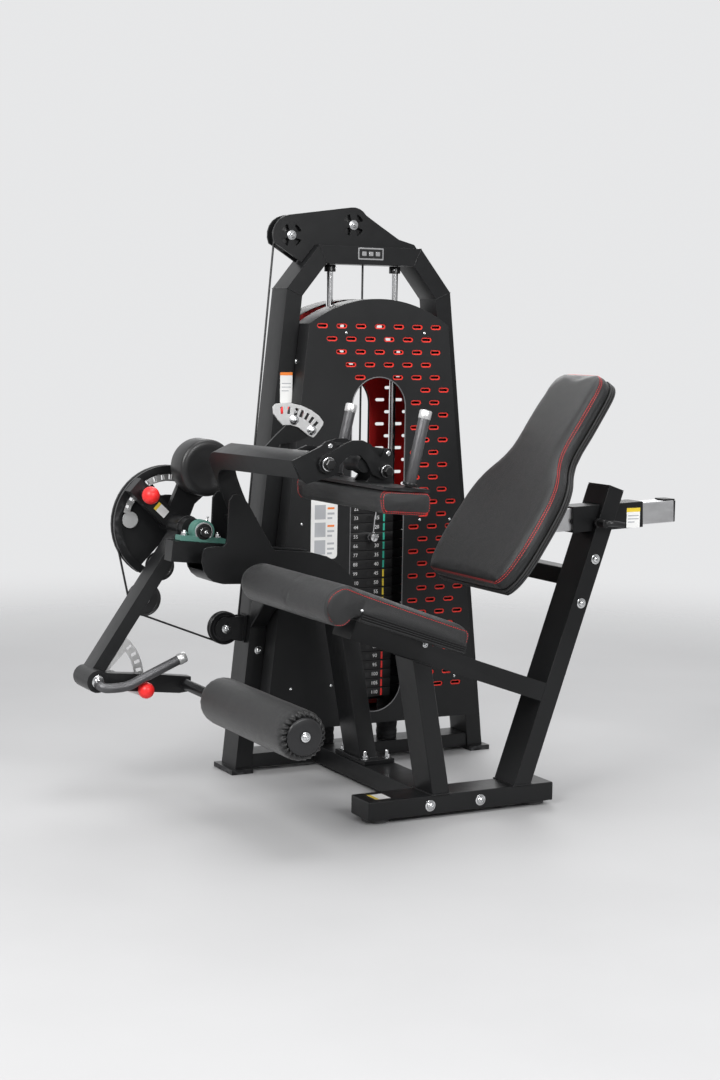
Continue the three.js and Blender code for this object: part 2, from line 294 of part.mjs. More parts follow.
put('roller_end_cap', cut(turned(ROLLER, [[0, -212], [42, -210], [46, -206], [46, -195.3], [0, -195.3]], 28), cylY(ROLLER, -208, -190, 15.4, 20)), 'dark');

// thigh hold-down: arm, linkage, carrier, cushion and two grab handles
const armQuad = (x, z) => { const c = Math.cos(ARM_ROLL * RAD), s = Math.sin(ARM_ROLL * RAD); return [[x, z], [x + 55 * c, z + 55 * s], [x + 55 * c + 50 * s, z + 55 * s - 50 * c], [x + 50 * s, z - 50 * c]]; };
function loft(a, ya, b, yb) {   // straight solid between two quads, (x, z) corners in the same order
  const g = new THREE.BoxGeometry(2, 2, 2).toNonIndexed(), p = g.getAttribute('position');
  const id = (x, z) => (x < 0 ? (z > 0 ? 0 : 3) : (z > 0 ? 1 : 2));
  for (let i = 0; i < p.count; i++) { const y = p.getY(i), q = (y < 0 ? a : b)[id(p.getX(i), p.getZ(i))]; p.setXYZ(i, q[0], y < 0 ? ya : yb, q[1]); }
  return g;
}
const bNear = [[-561, 938], [-485, 971], [-470, 984], [-456, 987], [-443, 980], [-437, 950], [-430, 930], [-433, 908], [-447, 898], [-522, 880], [-538, 893]];
const bFar = [[-532, 950], [-520, 958], [-485, 971], [-462, 968], [-438, 950], [-430, 930], [-433, 908], [-447, 898], [-505, 884], [-510, 914]];
const ARM_WIDE = 55, ARM_Y0 = 16;              // the arm's outline is drawn along (Y, down its side face), then given its width
const armLine = [[0, 0], [395, 0], [412, 3], [428, 10.5], [441, 22], [448, 38], [451, 60], [455, 100], [459, 145], [459, 259], [451, 259], [451, 150], [448.5, 125], [445, 104], [440, 88], [431, 73], [418, 61], [402, 53.5], [378, 50], [0, 50]];
function armSolid() {
  const c = Math.cos(ARM_ROLL * RAD), s = Math.sin(ARM_ROLL * RAD);
  const g = new THREE.ExtrudeGeometry(new THREE.Shape(armLine.map(([a, b]) => new THREE.Vector2(a, b))), { depth: ARM_WIDE, bevelEnabled: false, steps: 1 });
  const m = new THREE.Matrix4().makeBasis(new THREE.Vector3(-41 / 480, 1, -4 / 480), new THREE.Vector3(s, 0, -c), new THREE.Vector3(c, 0, s));
  m.setPosition(-561, ARM_Y0, 938);
  g.applyMatrix4(m);
  if (m.determinant() < 0) { const p = g.getAttribute('position'); for (let i = 0; i < p.count; i += 3) { const a = [p.getX(i), p.getY(i), p.getZ(i)], b = [p.getX(i + 1), p.getY(i + 1), p.getZ(i + 1)]; p.setXYZ(i, ...b); p.setXYZ(i + 1, ...a); } }
  return g;
}
const armNear = armQuad(-561, 938);
put('thigh_arm', cut(union(armSolid(), prism(bNear, 9, 17), prism(bFar, 82, 90),
  prism([[-528, 760], [-476, 760], [-455, 702], [-505, 702]], 400.5, 499.5),
  prism([[-548, 944], [-527, 955], [-492, 989], [-464, 1013], [-458, 1027], [-446, 1029], [-412, 1003], [-394, 1003], [-390, 992], [-405, 980], [-440, 968], [-487, 962], [-516, 940]], 245.3, 253)),
  cylY(BOLT_1, 0, 100, 9.3, 16), cylY([BOLT_1[0] + LINK_OFF[0], BOLT_1[1] + LINK_OFF[1]], 0, 40, 6.3, 12)), 'frame');
const linkLine = [[-495, 929], [-488, 946], [-471, 953], [-420, 979], [-400, 986], [-372, 986], [-350, 976], [-327, 946], [-290, 927], [-284, 909], [-289, 895], [-303, 887.5], [-322, 890], [-344, 901], [-361, 931], [-378, 949], [-406, 949], [-420, 942], [-448, 914], [-460, 907], [-474, 905], [-488, 912]];
put('thigh_link', union(prism(linkLine, -2, 8.6), prism(linkLine, 90.4, 101), cylY(BOLT_1, -12, 108, 9, 16), cylY(BOLT_1, -14, -1, 17, 6), cylY([-360, 925], 8, 91, 16, 20), cylY(BOLT_1, 100, 266, 9, 16),
  cylY(BOLT_2, -10, 106, 9, 16), cylY(BOLT_2, -13, -1, 15, 6),
  cut(armBar(BOLT_1, 0, 134, 75, 24, 257, 266), cylY(polar(BOLT_1, 122, 75), 250, 270, 5.5, 12))), 'frame');
function armBar(c, d0, d1, a, w, y0, y1) { const u = [Math.cos(a * RAD), Math.sin(a * RAD)], t = [-u[1] * w / 2, u[0] * w / 2], p = [c[0] + u[0] * d0, c[1] + u[1] * d0], q = [c[0] + u[0] * d1, c[1] + u[1] * d1]; return prism([[p[0] + t[0], p[1] + t[1]], [p[0] - t[0], p[1] - t[1]], [q[0] - t[0], q[1] - t[1]], [q[0] + t[0], q[1] + t[1]]], y0, y1); }
const p2 = [BOLT_2[0] + LINK_OFF[0], BOLT_2[1] + LINK_OFF[1]], p1 = [BOLT_1[0] + LINK_OFF[0], BOLT_1[1] + LINK_OFF[1]];
const linkA = Math.atan2(p2[1] - p1[1], p2[0] - p1[0]) / RAD;
put('thigh_parallel_link', union(prism([...arc(p1, 12, linkA + 90, linkA + 270, 6), ...arc(p2, 12, linkA - 90, linkA + 90, 6)], 17.6, 24), cylY(p1, 9.2, 18, 6, 12), cylY(p2, 9.2, 18, 6, 12)), 'dark');
const padT = x => 886 - 0.0735 * (x + 416);
const lug = [[-352, padT(-352) - 1], [-278, padT(-278) - 1], [-279, 900], [-279, 950], [-288, 964], [-302, 963], [-309, 950], [-324, 925], [-340, 900]];
put('thigh_carrier', cut(union(prism([[-412, padT(-412) - 8], [-284, padT(-284) - 8], [-284, padT(-284)], [-412, padT(-412)]], -184, 284), prism(lug, 9.2, 17.2), prism([[-352, padT(-352) - 1], [-278, padT(-278) - 1], [-284, 915], [-300, 930], [-318, 926], [-330, 905]], 81.5, 89.5),
  cylY([-319.5, padT(-319.5) + 0], -163, -127, 3, 12), cylY([-319.5, padT(-319.5)], 227, 263, 3, 12)),
  cylY(BOLT_2, 0, 100, 9.3, 16), cylY(p2, 0, 40, 6.3, 12)), 'frame');
const q4 = [[-416, padT(-416) - 9.8], [-280, padT(-280) - 8.6], [-279, 813], [-415, 823]];
const inset = (p, d) => [[p[0][0] + d, p[0][1]], [p[1][0] - d, p[1][1]], [p[1][0], p[1][1] - d], [p[2][0], p[2][1] + d], [p[2][0] - d, p[2][1]], [p[3][0] + d, p[3][1]], [p[3][0], p[3][1] + d], [p[0][0], p[0][1] - d]];
put('thigh_pad', prism(inset(q4, 14), -190, 290), 'pad');
for (const [n, y] of [['grab_handle_near', -145], ['grab_handle_far', 245]])
  put(n, rod([-318.5, y, padT(-318.5) + 4.2], [-276, y, 1067], 14, 20), 'grip');
const TPIN_R = 122, TPIN_A = 75;
const indexLine = [[-506, 1060], [-499, 1067], [-478, 1070], [-455, 1069], [-426, 1063], [-397, 1051], [-374, 1036], [-361, 1020], [-363, 1011], [-382, 987], [-390, 980], [-405, 986], [-411, 991], [-434, 1007], [-456, 1013], [-477, 1013], [-491, 1026], [-504, 1042]];
put('thigh_index_plate', cut(prism(indexLine.slice().reverse(), 240, 245),
  ...[94.4, 85, 75, 67.4, 59.4, 51.8, 44.1].map(a => slotAt(BOLT_1, TPIN_R, a, 9.5, 19, 230, 250))), 'silver');
put('thigh_pin', union(new THREE.SphereGeometry(15, 20, 14).rotateX(Math.PI / 2).translate(...P3(polar(BOLT_1, TPIN_R, TPIN_A), 302)), cylY(polar(BOLT_1, TPIN_R, TPIN_A), 245.4, 296, 4.5, 12)), 'red');
function P3(c, y) { return [c[0], y, c[1]]; }

// lower pulley on the tower's left post
const bl = [[-373, 375], [-366, 447], [-380, 447], ...arc(LOW_PULLEY, 33, 70, 290, 10), [-384, 375]];
put('lower_pulley_bracket', union(prism(bl, 700, 705), prism(bl, 731, 736), prism([[-378, 372], [-372.2, 372], [-363.9, 450], [-370, 450]], 690, 746), cylY(LOW_PULLEY, 704, 732, 7, 12)), 'dark');
put('lower_pulley', pulleyGeo(LOW_PULLEY), 'dark');

// lifting cable: cam to idler, under the lower pulley, up the tower, over the top
const Y = CABLE_Y, R = PULLEY_RUN_R, P = (c, y = Y) => [c[0], y, c[1]];
const route = [polar(PIVOT, 154, 192.4), ...arc(IDLER_A, R, 192.4, 248.6, 5), ...arc(LOW_PULLEY, R, 248.6, 354.7, 8), ...arc(TOP_PULLEY_L, R, 174.7, 100.45, 6), ...arc(TOP_PULLEY_R, R, 100.45, 0, 8)];
put('lift_cable', sweep(route.map(c => P(c)), CABLE_R, 8), 'cable');
put('stack_cable', rod([0, Y, HEAD_Z1 + 26.3], [0, Y, TOP_PULLEY_R[1] - GAP], CABLE_R, 8), 'cable');
put('pin_lanyard', sweep([[14, 649, HEAD_Z0 + 8], [16, 643, HEAD_Z0 - 6], [15, 640, HEAD_Z0 - 30], [11, 637, PIN_Z + 60], [7, 634, PIN_Z + 35], [3, 631, PIN_Z + 15.2]], 1.5, 8), 'lanyard');

export default model;
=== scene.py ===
import bpy, bmesh, json, math, random
from mathutils import Vector, Matrix
from mathutils.bvhtree import BVHTree

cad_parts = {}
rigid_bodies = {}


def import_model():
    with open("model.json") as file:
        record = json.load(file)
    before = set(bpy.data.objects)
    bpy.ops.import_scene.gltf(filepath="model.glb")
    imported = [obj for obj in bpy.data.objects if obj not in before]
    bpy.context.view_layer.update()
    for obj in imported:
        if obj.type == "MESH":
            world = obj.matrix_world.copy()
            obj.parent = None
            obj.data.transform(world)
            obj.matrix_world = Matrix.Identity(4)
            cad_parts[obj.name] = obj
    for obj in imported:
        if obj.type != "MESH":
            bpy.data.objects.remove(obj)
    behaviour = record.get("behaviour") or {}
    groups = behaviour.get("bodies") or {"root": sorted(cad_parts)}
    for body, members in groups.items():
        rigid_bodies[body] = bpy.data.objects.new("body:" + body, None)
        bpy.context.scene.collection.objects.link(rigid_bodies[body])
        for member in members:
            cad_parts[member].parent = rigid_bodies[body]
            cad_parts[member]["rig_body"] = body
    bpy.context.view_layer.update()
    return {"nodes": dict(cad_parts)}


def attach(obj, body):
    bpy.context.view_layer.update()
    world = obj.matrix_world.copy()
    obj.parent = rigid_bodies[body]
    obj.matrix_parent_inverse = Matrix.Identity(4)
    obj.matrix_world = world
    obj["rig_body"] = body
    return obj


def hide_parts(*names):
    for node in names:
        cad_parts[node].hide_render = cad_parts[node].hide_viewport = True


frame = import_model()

N = frame["nodes"]
scene = bpy.context.scene
random.seed(7)
RAD = math.pi / 180
OX, OY = -143.67, 309.5          # design axes (mm) to the shared frame


def P(x, y, z):
    return Vector(((x - OX) / 1000, (y - OY) / 1000, z / 1000))


def polar(c, r, a):
    return (c[0] + r * math.cos(a * RAD), c[1] + r * math.sin(a * RAD))


def arc(c, r, a0, a1, n):
    return [polar(c, r, a0 + (a1 - a0) * i / n) for i in range(n + 1)]


# design dimensions, mm
PIVOT, COLLAR, ROLLER = (-602.5, 719.7), (-872.5, 322.8), (-622.0, 297.5)
IDLER_A, IDLER_B, LOWP = (-670, 509), (-623, 599), (-427.6, 413.9)
TOPL, TOPR = (-239, 1521.4), (-43, 1557)
BOLT1, BOLT2, LOFF = (-471, 929), (-307.5, 908.5), (13, 43)
DRUM = (-547, 881)
PIN_Z = 193.5 + 27 * 17 + 12.8
HEAD_Z1 = 193.5 + 27 * 21 + 25.6

# camera
yaw, pitch, roll = 27.98 * RAD, 6.26 * RAD, 0.93 * RAD
fwd = Vector((math.sin(yaw) * math.cos(pitch), math.cos(yaw) * math.cos(pitch), -math.sin(pitch)))
rgt = Vector((math.cos(yaw), -math.sin(yaw), 0))
upv = rgt.cross(fwd)
cx, cy = rgt * math.cos(roll) + upv * math.sin(roll), upv * math.cos(roll) - rgt * math.sin(roll)
cam_data = bpy.data.cameras.new("camera")
cam_data.lens, cam_data.sensor_width, cam_data.sensor_fit = 63.2, 36, "AUTO"
cam_data.clip_end = 60
camera = bpy.data.objects.new("camera", cam_data)
scene.collection.objects.link(camera)
mw = Matrix((cx, cy, -fwd)).transposed().to_4x4()
mw.translation = P(-2585.0, -4158.8, 1253.8)
camera.matrix_world = mw
scene.camera = camera


# ---------------------------------------------------------------- materials
def new_mat(name):
    m = bpy.data.materials.new(name)
    m.use_nodes = True
    nt = m.node_tree
    b = nt.nodes["Principled BSDF"]
    return m, nt, b


def coords(nt, scale=(1, 1, 1)):
    tc = nt.nodes.new("ShaderNodeTexCoord")
    mp = nt.nodes.new("ShaderNodeMapping")
    mp.inputs["Scale"].default_value = scale
    nt.links.new(tc.outputs["Object"], mp.inputs["Vector"])
    return mp.outputs["Vector"]


def noise(nt, vec, scale, detail=3, rough=0.5):
    n = nt.nodes.new("ShaderNodeTexNoise")
    n.inputs["Scale"].default_value = scale
    n.inputs["Detail"].default_value = detail
    n.inputs["Roughness"].default_value = rough
    nt.links.new(vec, n.inputs["Vector"])
    return n.outputs["Fac"]


def ramp(nt, fac, stops):
    r = nt.nodes.new("ShaderNodeValToRGB")
    e = r.color_ramp.elements
    for i, (p, c) in enumerate(stops):
        if i > 1:
            e.new(p)
        e[i].position = p
        e[i].color = (*c, 1) if len(c) == 3 else c
    nt.links.new(fac, r.inputs["Fac"])
    return r.outputs["Color"]


def maprange(nt, fac, a, b, lo=0.0, hi=1.0):
    m = nt.nodes.new("ShaderNodeMapRange")
    m.inputs["From Min"].default_value, m.inputs["From Max"].default_value = lo, hi
    m.inputs["To Min"].default_value, m.inputs["To Max"].default_value = a, b
    nt.links.new(fac, m.inputs["Value"])
    return m.outputs["Result"]


def bump(nt, b, height, strength, dist, prev=None):
    n = nt.nodes.new("ShaderNodeBump")
    n.inputs["Strength"].default_value = strength
    n.inputs["Distance"].default_value = dist
    nt.links.new(height, n.inputs["Height"])
    if prev:
        nt.links.new(prev, n.inputs["Normal"])
    nt.links.new(n.outputs["Normal"], b.inputs["Normal"])
    return n.outputs["Normal"]


def mix(nt, fac, a, b):
    m = nt.nodes.new("ShaderNodeMix")
    m.data_type = "RGBA"
    nt.links.new(fac, m.inputs["Factor"])
    for s, v in ((6, a), (7, b)):
        if isinstance(v, tuple):
            m.inputs[s].default_value = (*v, 1)
        else:
            nt.links.new(v, m.inputs[s])
    return m.outputs[2]


def scaled(c, k):
    return tuple(min(1, x * k) for x in c)


def paint(name, c, rough, peel=0.25, edge_highlight=0.0, coat=0.0, metal=0.0, peel_scale=520, edge=(0.16, 0.16, 0.165), spec=0.5):
    m, nt, b = new_mat(name)
    v = coords(nt)
    big = noise(nt, v, 5, 4)
    col = ramp(nt, big, [(0.3, scaled(c, 0.85)), (0.7, scaled(c, 1.18))])
    b.inputs["Specular IOR Level"].default_value = spec
    # painted highlight: convex edges found by pointiness are lightened towards the edge colour, broken up by noise
    if edge_highlight:
        g = nt.nodes.new("ShaderNodeNewGeometry")
        pt = ramp(nt, g.outputs["Pointiness"], [(0.56, (0, 0, 0)), (0.66, (1, 1, 1))])
        w = nt.nodes.new("ShaderNodeMath"); w.operation = "MULTIPLY"
        nt.links.new(pt, w.inputs[0])
        nt.links.new(maprange(nt, noise(nt, v, 60, 4), 0, edge_highlight, 0.45, 0.7), w.inputs[1])
        col = mix(nt, w.outputs[0], col, edge)
    nt.links.new(col, b.inputs["Base Color"])
    nt.links.new(maprange(nt, noise(nt, v, 38, 5), rough * 0.82, rough * 1.2), b.inputs["Roughness"])
    b.inputs["Metallic"].default_value = metal
    b.inputs["Coat Weight"].default_value = coat
    b.inputs["Coat Roughness"].default_value = 0.12
    bump(nt, b, noise(nt, v, peel_scale, 2), peel, 0.0004)
    return m


def metal(name, c, rough, stretch=(1, 1, 1), grain=0.12, dirt=0.12):
    m, nt, b = new_mat(name)
    v = coords(nt, stretch)
    v2 = coords(nt)
    nt.links.new(ramp(nt, noise(nt, v2, 26, 5), [(0.3, scaled(c, 1 - dirt)), (0.65, c)]), b.inputs["Base Color"])
    b.inputs["Metallic"].default_value = 1.0
    nt.links.new(maprange(nt, noise(nt, v, 300, 4), rough * 0.7, rough * 1.35), b.inputs["Roughness"])
    bump(nt, b, noise(nt, v, 900, 2), grain, 0.0002)
    return m


def leather(name, c, grain=0.55, rough=0.46):
    m, nt, b = new_mat(name)
    v = coords(nt)
    vor = nt.nodes.new("ShaderNodeTexVoronoi")
    vor.feature = "DISTANCE_TO_EDGE"
    vor.inputs["Scale"].default_value = 620
    warp = nt.nodes.new("ShaderNodeMix"); warp.data_type = "VECTOR"
    warp.inputs["Factor"].default_value = 0.0025
    nz = nt.nodes.new("ShaderNodeTexNoise"); nz.inputs["Scale"].default_value = 140
    nt.links.new(v, nz.inputs["Vector"])
    nt.links.new(v, warp.inputs[4]); nt.links.new(nz.outputs["Color"], warp.inputs[5])
    nt.links.new(warp.outputs[1], vor.inputs["Vector"])
    cell = maprange(nt, vor.outputs["Distance"], 0, 1, 0.0, 0.16)
    big = noise(nt, v, 9, 4)
    base = ramp(nt, big, [(0.3, scaled(c, 0.85)), (0.72, scaled(c, 1.25))])
    dark = mix(nt, cell, scaled(c, 0.55), base)
    nt.links.new(dark, b.inputs["Base Color"])
    nt.links.new(maprange(nt, noise(nt, v, 55, 4), rough * 0.85, rough * 1.2), b.inputs["Roughness"])
    b.inputs["Sheen Weight"].default_value = 0.12
    b.inputs["Sheen Roughness"].default_value = 0.4
    b.inputs["Specular IOR Level"].default_value = 0.5
    n1 = bump(nt, b, cell, grain, 0.0003)
    bump(nt, b, noise(nt, v, 34, 4), 0.18, 0.003, n1)
    return m


def knurl(name, c, rough):
    m, nt, b = new_mat(name)
    v = coords(nt)
    nt.links.new(ramp(nt, noise(nt, v, 14, 4), [(0.3, scaled(c, 0.8)), (0.7, scaled(c, 1.15))]), b.inputs["Base Color"])
    b.inputs["Metallic"].default_value = 0.85
    nt.links.new(maprange(nt, noise(nt, v, 200, 3), rough * 0.85, rough * 1.2), b.inputs["Roughness"])
    ck = nt.nodes.new("ShaderNodeTexVoronoi"); ck.inputs["Scale"].default_value = 900
    nt.links.new(v, ck.inputs["Vector"])
    bump(nt, b, ck.outputs["Distance"], 0.5, 0.0005)
    return m


BLACK = (0.0085, 0.0088, 0.0094)
M = {
    # the frame paint carries the painted edge highlight
    "frame": paint("powder_coat_black", BLACK, 0.34, edge_highlight=0.55, spec=0.32, edge=(0.12, 0.12, 0.125)),
    "sheet": paint("powder_coat_sheet", (0.0125, 0.0128, 0.0135), 0.46, peel=0.3, spec=0.28),
    # darker copy of the sheet paint, used as painted shade inside the shroud and inside the slide tube hole
    "painted_shade": paint("painted_shade_black", (0.008, 0.008, 0.009), 0.5, spec=0.3),
    "redsheet": paint("red_sheet", (0.60, 0.010, 0.010), 0.42),
    "rededge": paint("red_backing", (0.98, 0.040, 0.026), 0.5),
    "chrome": metal("chrome", (0.94, 0.94, 0.95), 0.14, dirt=0.05, grain=0.004),
    "tube": metal("satin_slide_tube", (0.78, 0.78, 0.79), 0.36, stretch=(0.05, 1, 1), grain=0.015),
    "zinc": metal("zinc", (0.78, 0.79, 0.80), 0.20, dirt=0.14, grain=0.015),
    "alu": metal("satin_aluminium", (0.78, 0.78, 0.78), 0.40, stretch=(1, 1, 0.12), grain=0.015, dirt=0.06),
    "cap": metal("polished_cap", (0.88, 0.88, 0.89), 0.22, dirt=0.05, grain=0.004),
    "rubber": paint("rubber", (0.016, 0.016, 0.017), 0.72, peel=0.6, peel_scale=260, spec=0.35),
    "foot": paint("grey_rubber", (0.065, 0.065, 0.066), 0.75, peel=0.6, peel_scale=260, spec=0.35),
    "green": paint("green_casting", (0.075, 0.20, 0.165), 0.42, peel=0.7, peel_scale=190),
    "red": paint("red_knob", (0.86, 0.022, 0.022), 0.38, peel=0.02, coat=0.0),
    "leather": leather("leatherette", (0.0100, 0.0103, 0.0110), rough=0.40),
    "leather2": leather("leatherette_panel", (0.0135, 0.0138, 0.0145), rough=0.5),
    "foam": leather("roller_cover", (0.0085, 0.0086, 0.009), rough=0.36),
    "thread": paint("red_thread", (0.85, 0.035, 0.035), 0.6, peel=0.6),
    "plates": paint("cast_plate", (0.009, 0.009, 0.0095), 0.48, peel=0.45, peel_scale=300, spec=0.4),
    "cast": paint("counterweight_black", (0.0125, 0.0125, 0.013), 0.38, peel=0.35, peel_scale=220),
    "nylon": paint("nylon", (0.010, 0.010, 0.011), 0.36, peel=0.12),
    "plastic": paint("black_plastic", (0.009, 0.009, 0.0095), 0.30, peel=0.15),
    "endcap": paint("grey_end_cap", (0.085, 0.09, 0.08), 0.5, peel=0.2),
    "cable": paint("coated_cable", (0.016, 0.016, 0.017), 0.40, peel=0.8, peel_scale=700),
    "grip": knurl("dark_anodised_grip", (0.13, 0.13, 0.135), 0.36),
    "cord": paint("grey_cord", (0.35, 0.35, 0.36), 0.7, peel=1.0, peel_scale=1500),
    "white": paint("white_label", (0.80, 0.80, 0.79), 0.45, peel=0.05),
    "offwhite": paint("trim_grey", (0.14, 0.14, 0.145), 0.35, peel=0.05),
    "yellow": paint("label_yellow", (0.75, 0.55, 0.04), 0.45, peel=0.05),
    "orange": paint("label_orange", (0.85, 0.22, 0.03), 0.45, peel=0.05),
    "grey": paint("label_grey", (0.42, 0.43, 0.45), 0.45, peel=0.05),
    "barg": paint("bar_green", (0.03, 0.42, 0.30), 0.45, peel=0.05),
    "bary": paint("bar_yellow", (0.82, 0.62, 0.05), 0.45, peel=0.05),
    "barr": paint("bar_red", (0.82, 0.03, 0.025), 0.45, peel=0.05),
    "num": paint("numerals", (0.85, 0.85, 0.85), 0.5, peel=0.05),
}


# ---------------------------------------------------------------- mesh tools
def add(ob, body, mat, replace=(), smooth=None):
    if ob.name not in scene.collection.objects:
        scene.collection.objects.link(ob)
    ob.data.materials.clear()
    ob.data.materials.append(M[mat])
    if smooth is not None and ob.type == "MESH":
        ob.data.shade_smooth()
        if smooth:
            ob.data.set_sharp_from_angle(angle=smooth * RAD)
    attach(ob, body)
    if replace:
        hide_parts(*replace)
    return ob


def mesh_ob(name, verts, faces):
    me = bpy.data.meshes.new(name)
    me.from_pydata([tuple(v) for v in verts], [], faces)
    me.update()
    ob = bpy.data.objects.new(name, me)
    scene.collection.objects.link(ob)
    return ob


def bevel(ob, w, seg=3, angle=32):
    b = ob.modifiers.new("bevel", "BEVEL")
    b.width, b.segments, b.limit_method, b.angle_limit = w / 1000, seg, "ANGLE", angle * RAD
    b.use_clamp_overlap = True
    b.harden_normals = True
    return ob


def apply_mods(ob):
    bpy.context.view_layer.update()
    me = bpy.data.meshes.new_from_object(ob.evaluated_get(bpy.context.evaluated_depsgraph_get()))
    old = ob.data
    ob.modifiers.clear()
    ob.data = me
    return ob


def hard(node, mat, w=2.0, seg=3, angle=32, sharp=50):
    """A bevelled copy of a CAD node, standing for it."""
    me = N[node].data.copy()
    bm = bmesh.new(); bm.from_mesh(me)
    bmesh.ops.remove_doubles(bm, verts=bm.verts, dist=2e-6)
    bmesh.ops.dissolve_limit(bm, angle_limit=0.6 * RAD, verts=bm.verts, edges=bm.edges)
    bmesh.ops.recalc_face_normals(bm, faces=bm.faces)
    bm.to_mesh(me); bm.free()
    ob = bpy.data.objects.new(node + ".fine", me)
    scene.collection.objects.link(ob)
    if w:
        bevel(ob, w, seg, angle)
    body = N[node]["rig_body"]
    return add(ob, body, mat, (node,), sharp)


def keep(node, mat, sharp=40):
    ob = N[node]
    if not ob.material_slots:
        ob.data.materials.append(M[mat])
    for s in ob.material_slots:
        s.material = M[mat]
    return ob


def flat(name, outline, y0, y1, holes=(), bev=0.6, mapper=None, res=2):
    """A plate with holes, drawn in x,z (mm) and thick from y0 to y1."""
    cu = bpy.data.curves.new(name, "CURVE")
    cu.dimensions, cu.fill_mode = "2D", "BOTH"
    cu.extrude = max(0.00005, (y1 - y0) / 2000 - bev / 1000)
    cu.bevel_depth, cu.bevel_resolution, cu.offset = bev / 1000, res, -bev / 1000
    for ring in [outline, *holes]:
        s = cu.splines.new("POLY")
        s.points.add(len(ring) - 1)
        for p, (x, z) in zip(s.points, ring):
            p.co = (x / 1000, z / 1000, 0, 1)
        s.use_cyclic_u = True
    tmp = bpy.data.objects.new(name + "_tmp", cu)
    scene.collection.objects.link(tmp)
    bpy.context.view_layer.update()
    me = bpy.data.meshes.new_from_object(tmp.evaluated_get(bpy.context.evaluated_depsgraph_get()))
    bpy.data.objects.remove(tmp)
    me.name = name
    ym = (y0 + y1) / 2
    for v in me.vertices:
        u, w, d = v.co
        v.co = mapper(u * 1000, w * 1000, d * 1000) if mapper else P(u * 1000, ym - d * 1000, w * 1000)
    ob = bpy.data.objects.new(name, me)
    scene.collection.objects.link(ob)
    return ob


def frame_of(a, b):
    d = (b - a).normalized()
    s = d.cross(Vector((0, 0, 1)) if abs(d.z) < 0.9 else Vector((1, 0, 0))).normalized()
    return d, s, d.cross(s)


def lathe(name, a, b, prof, seg=64, wave=None):
    """Turns prof (radius mm, distance mm from a towards b) round the axis a-b."""
    d, s, t = frame_of(a, b)
    verts, faces = [], []
    for k, (r, h) in enumerate(prof):
        for i in range(seg):
            th = 2 * math.pi * i / seg
            rr, hh, tt = wave(k, r, h, th) if wave else (r, h, th)
            verts.append(a + d * (hh / 1000) + (s * math.cos(tt) + t * math.sin(tt)) * (rr / 1000))
    for k in range(len(prof) - 1):
        for i in range(seg):
            j = (i + 1) % seg
            faces.append((k * seg + i, k * seg + j, (k + 1) * seg + j, (k + 1) * seg + i))
    ob = mesh_ob(name, verts, faces)
    bm = bmesh.new(); bm.from_mesh(ob.data)
    bmesh.ops.remove_doubles(bm, verts=bm.verts, dist=1e-6)
    bmesh.ops.holes_fill(bm, edges=[e for e in bm.edges if e.is_boundary])
    bmesh.ops.recalc_face_normals(bm, faces=bm.faces)
    bm.to_mesh(ob.data); bm.free()
    return ob


def join(name, obs):
    """Joins finished meshes of one material into one piece."""
    bm = bmesh.new()
    for o in obs:
        if o.modifiers:
            apply_mods(o)
        o.data.transform(o.matrix_world)
        bm.from_mesh(o.data)
        bpy.data.objects.remove(o)
    me = bpy.data.meshes.new(name)
    bm.to_mesh(me); bm.free()
    ob = bpy.data.objects.new(name, me)
    scene.collection.objects.link(ob)
    return ob


def tube(name, pts, r, body, mat, cyclic=False, res=6, replace=(), poly=False):
    cu = bpy.data.curves.new(name, "CURVE")
    cu.dimensions, cu.bevel_depth, cu.bevel_resolution, cu.use_fill_caps = "3D", r / 1000, 3, True
    if poly:
        s = cu.splines.new("POLY"); s.points.add(len(pts) - 1)
        for p, q in zip(s.points, pts):
            p.co = (*q, 1)
    else:
        s = cu.splines.new("BEZIER"); s.bezier_points.add(len(pts) - 1)
        for p, q in zip(s.bezier_points, pts):
            p.co = q; p.handle_left_type = p.handle_right_type = "AUTO"
        cu.resolution_u = res
    s.use_cyclic_u = cyclic
    tmp = bpy.data.objects.new(name + "_tmp", cu)
    scene.collection.objects.link(tmp)
    bpy.context.view_layer.update()
    me = bpy.data.meshes.new_from_object(tmp.evaluated_get(bpy.context.evaluated_depsgraph_get()))
    bpy.data.objects.remove(tmp)
    ob = bpy.data.objects.new(name, me)
    scene.collection.objects.link(ob)
    if body:
        add(ob, body, mat, replace, 60)
    return ob


def hexhead(a, d, r, h, washer=True, dome=False, socket=False, wide=1.42):
    """Washer, hexagon or button head, and a bolt end, standing on a along d (mm)."""
    d = Vector(d).normalized()
    out = []
    if washer:
        out.append(lathe("w", a, a + d, [(0, 0.2), (r * wide * 0.97, 0.2), (r * wide, 0.7), (r * wide, 1.4), (r * wide * 0.95, 1.8), (0, 1.8)], 32))
    z = 1.8 if washer else 0
    if dome:
        prof = [(0, z), (r, z)] + [(r * math.cos(t * RAD), z + h * math.sin(t * RAD)) for t in (15, 30, 45, 60)]
        prof += [(r * 0.42, z + h * 0.93), (r * 0.36, z + h * 0.55), (0, z + h * 0.5)] if socket else [(r * 0.25, z + h * 0.98), (0, z + h)]
        out.append(lathe("b", a, a + d, prof, 32))
    else:
        n = lathe("b", a, a + d, [(0, z), (r, z), (r, z + h * 0.82), (r * 0.86, z + h), (0, z + h)], 6)
        out.append(n)
        out.append(lathe("e", a, a + d, [(0, z), (r * 0.52, z + h), (r * 0.52, z + h + r * 0.35), (r * 0.42, z + h + r * 0.5), (0, z + h + r * 0.5)], 20))
    return out


def bolts(name, body, items, mat="zinc"):
    """items: (x, y, z, direction, radius, height, style)"""
    obs = []
    for x, y, z, d, r, h, style in items:
        obs += hexhead(P(x, y, z), d, r, h, "w" in style, "d" in style, "s" in style)
    return add(join(name, obs), body, mat, (), 38)


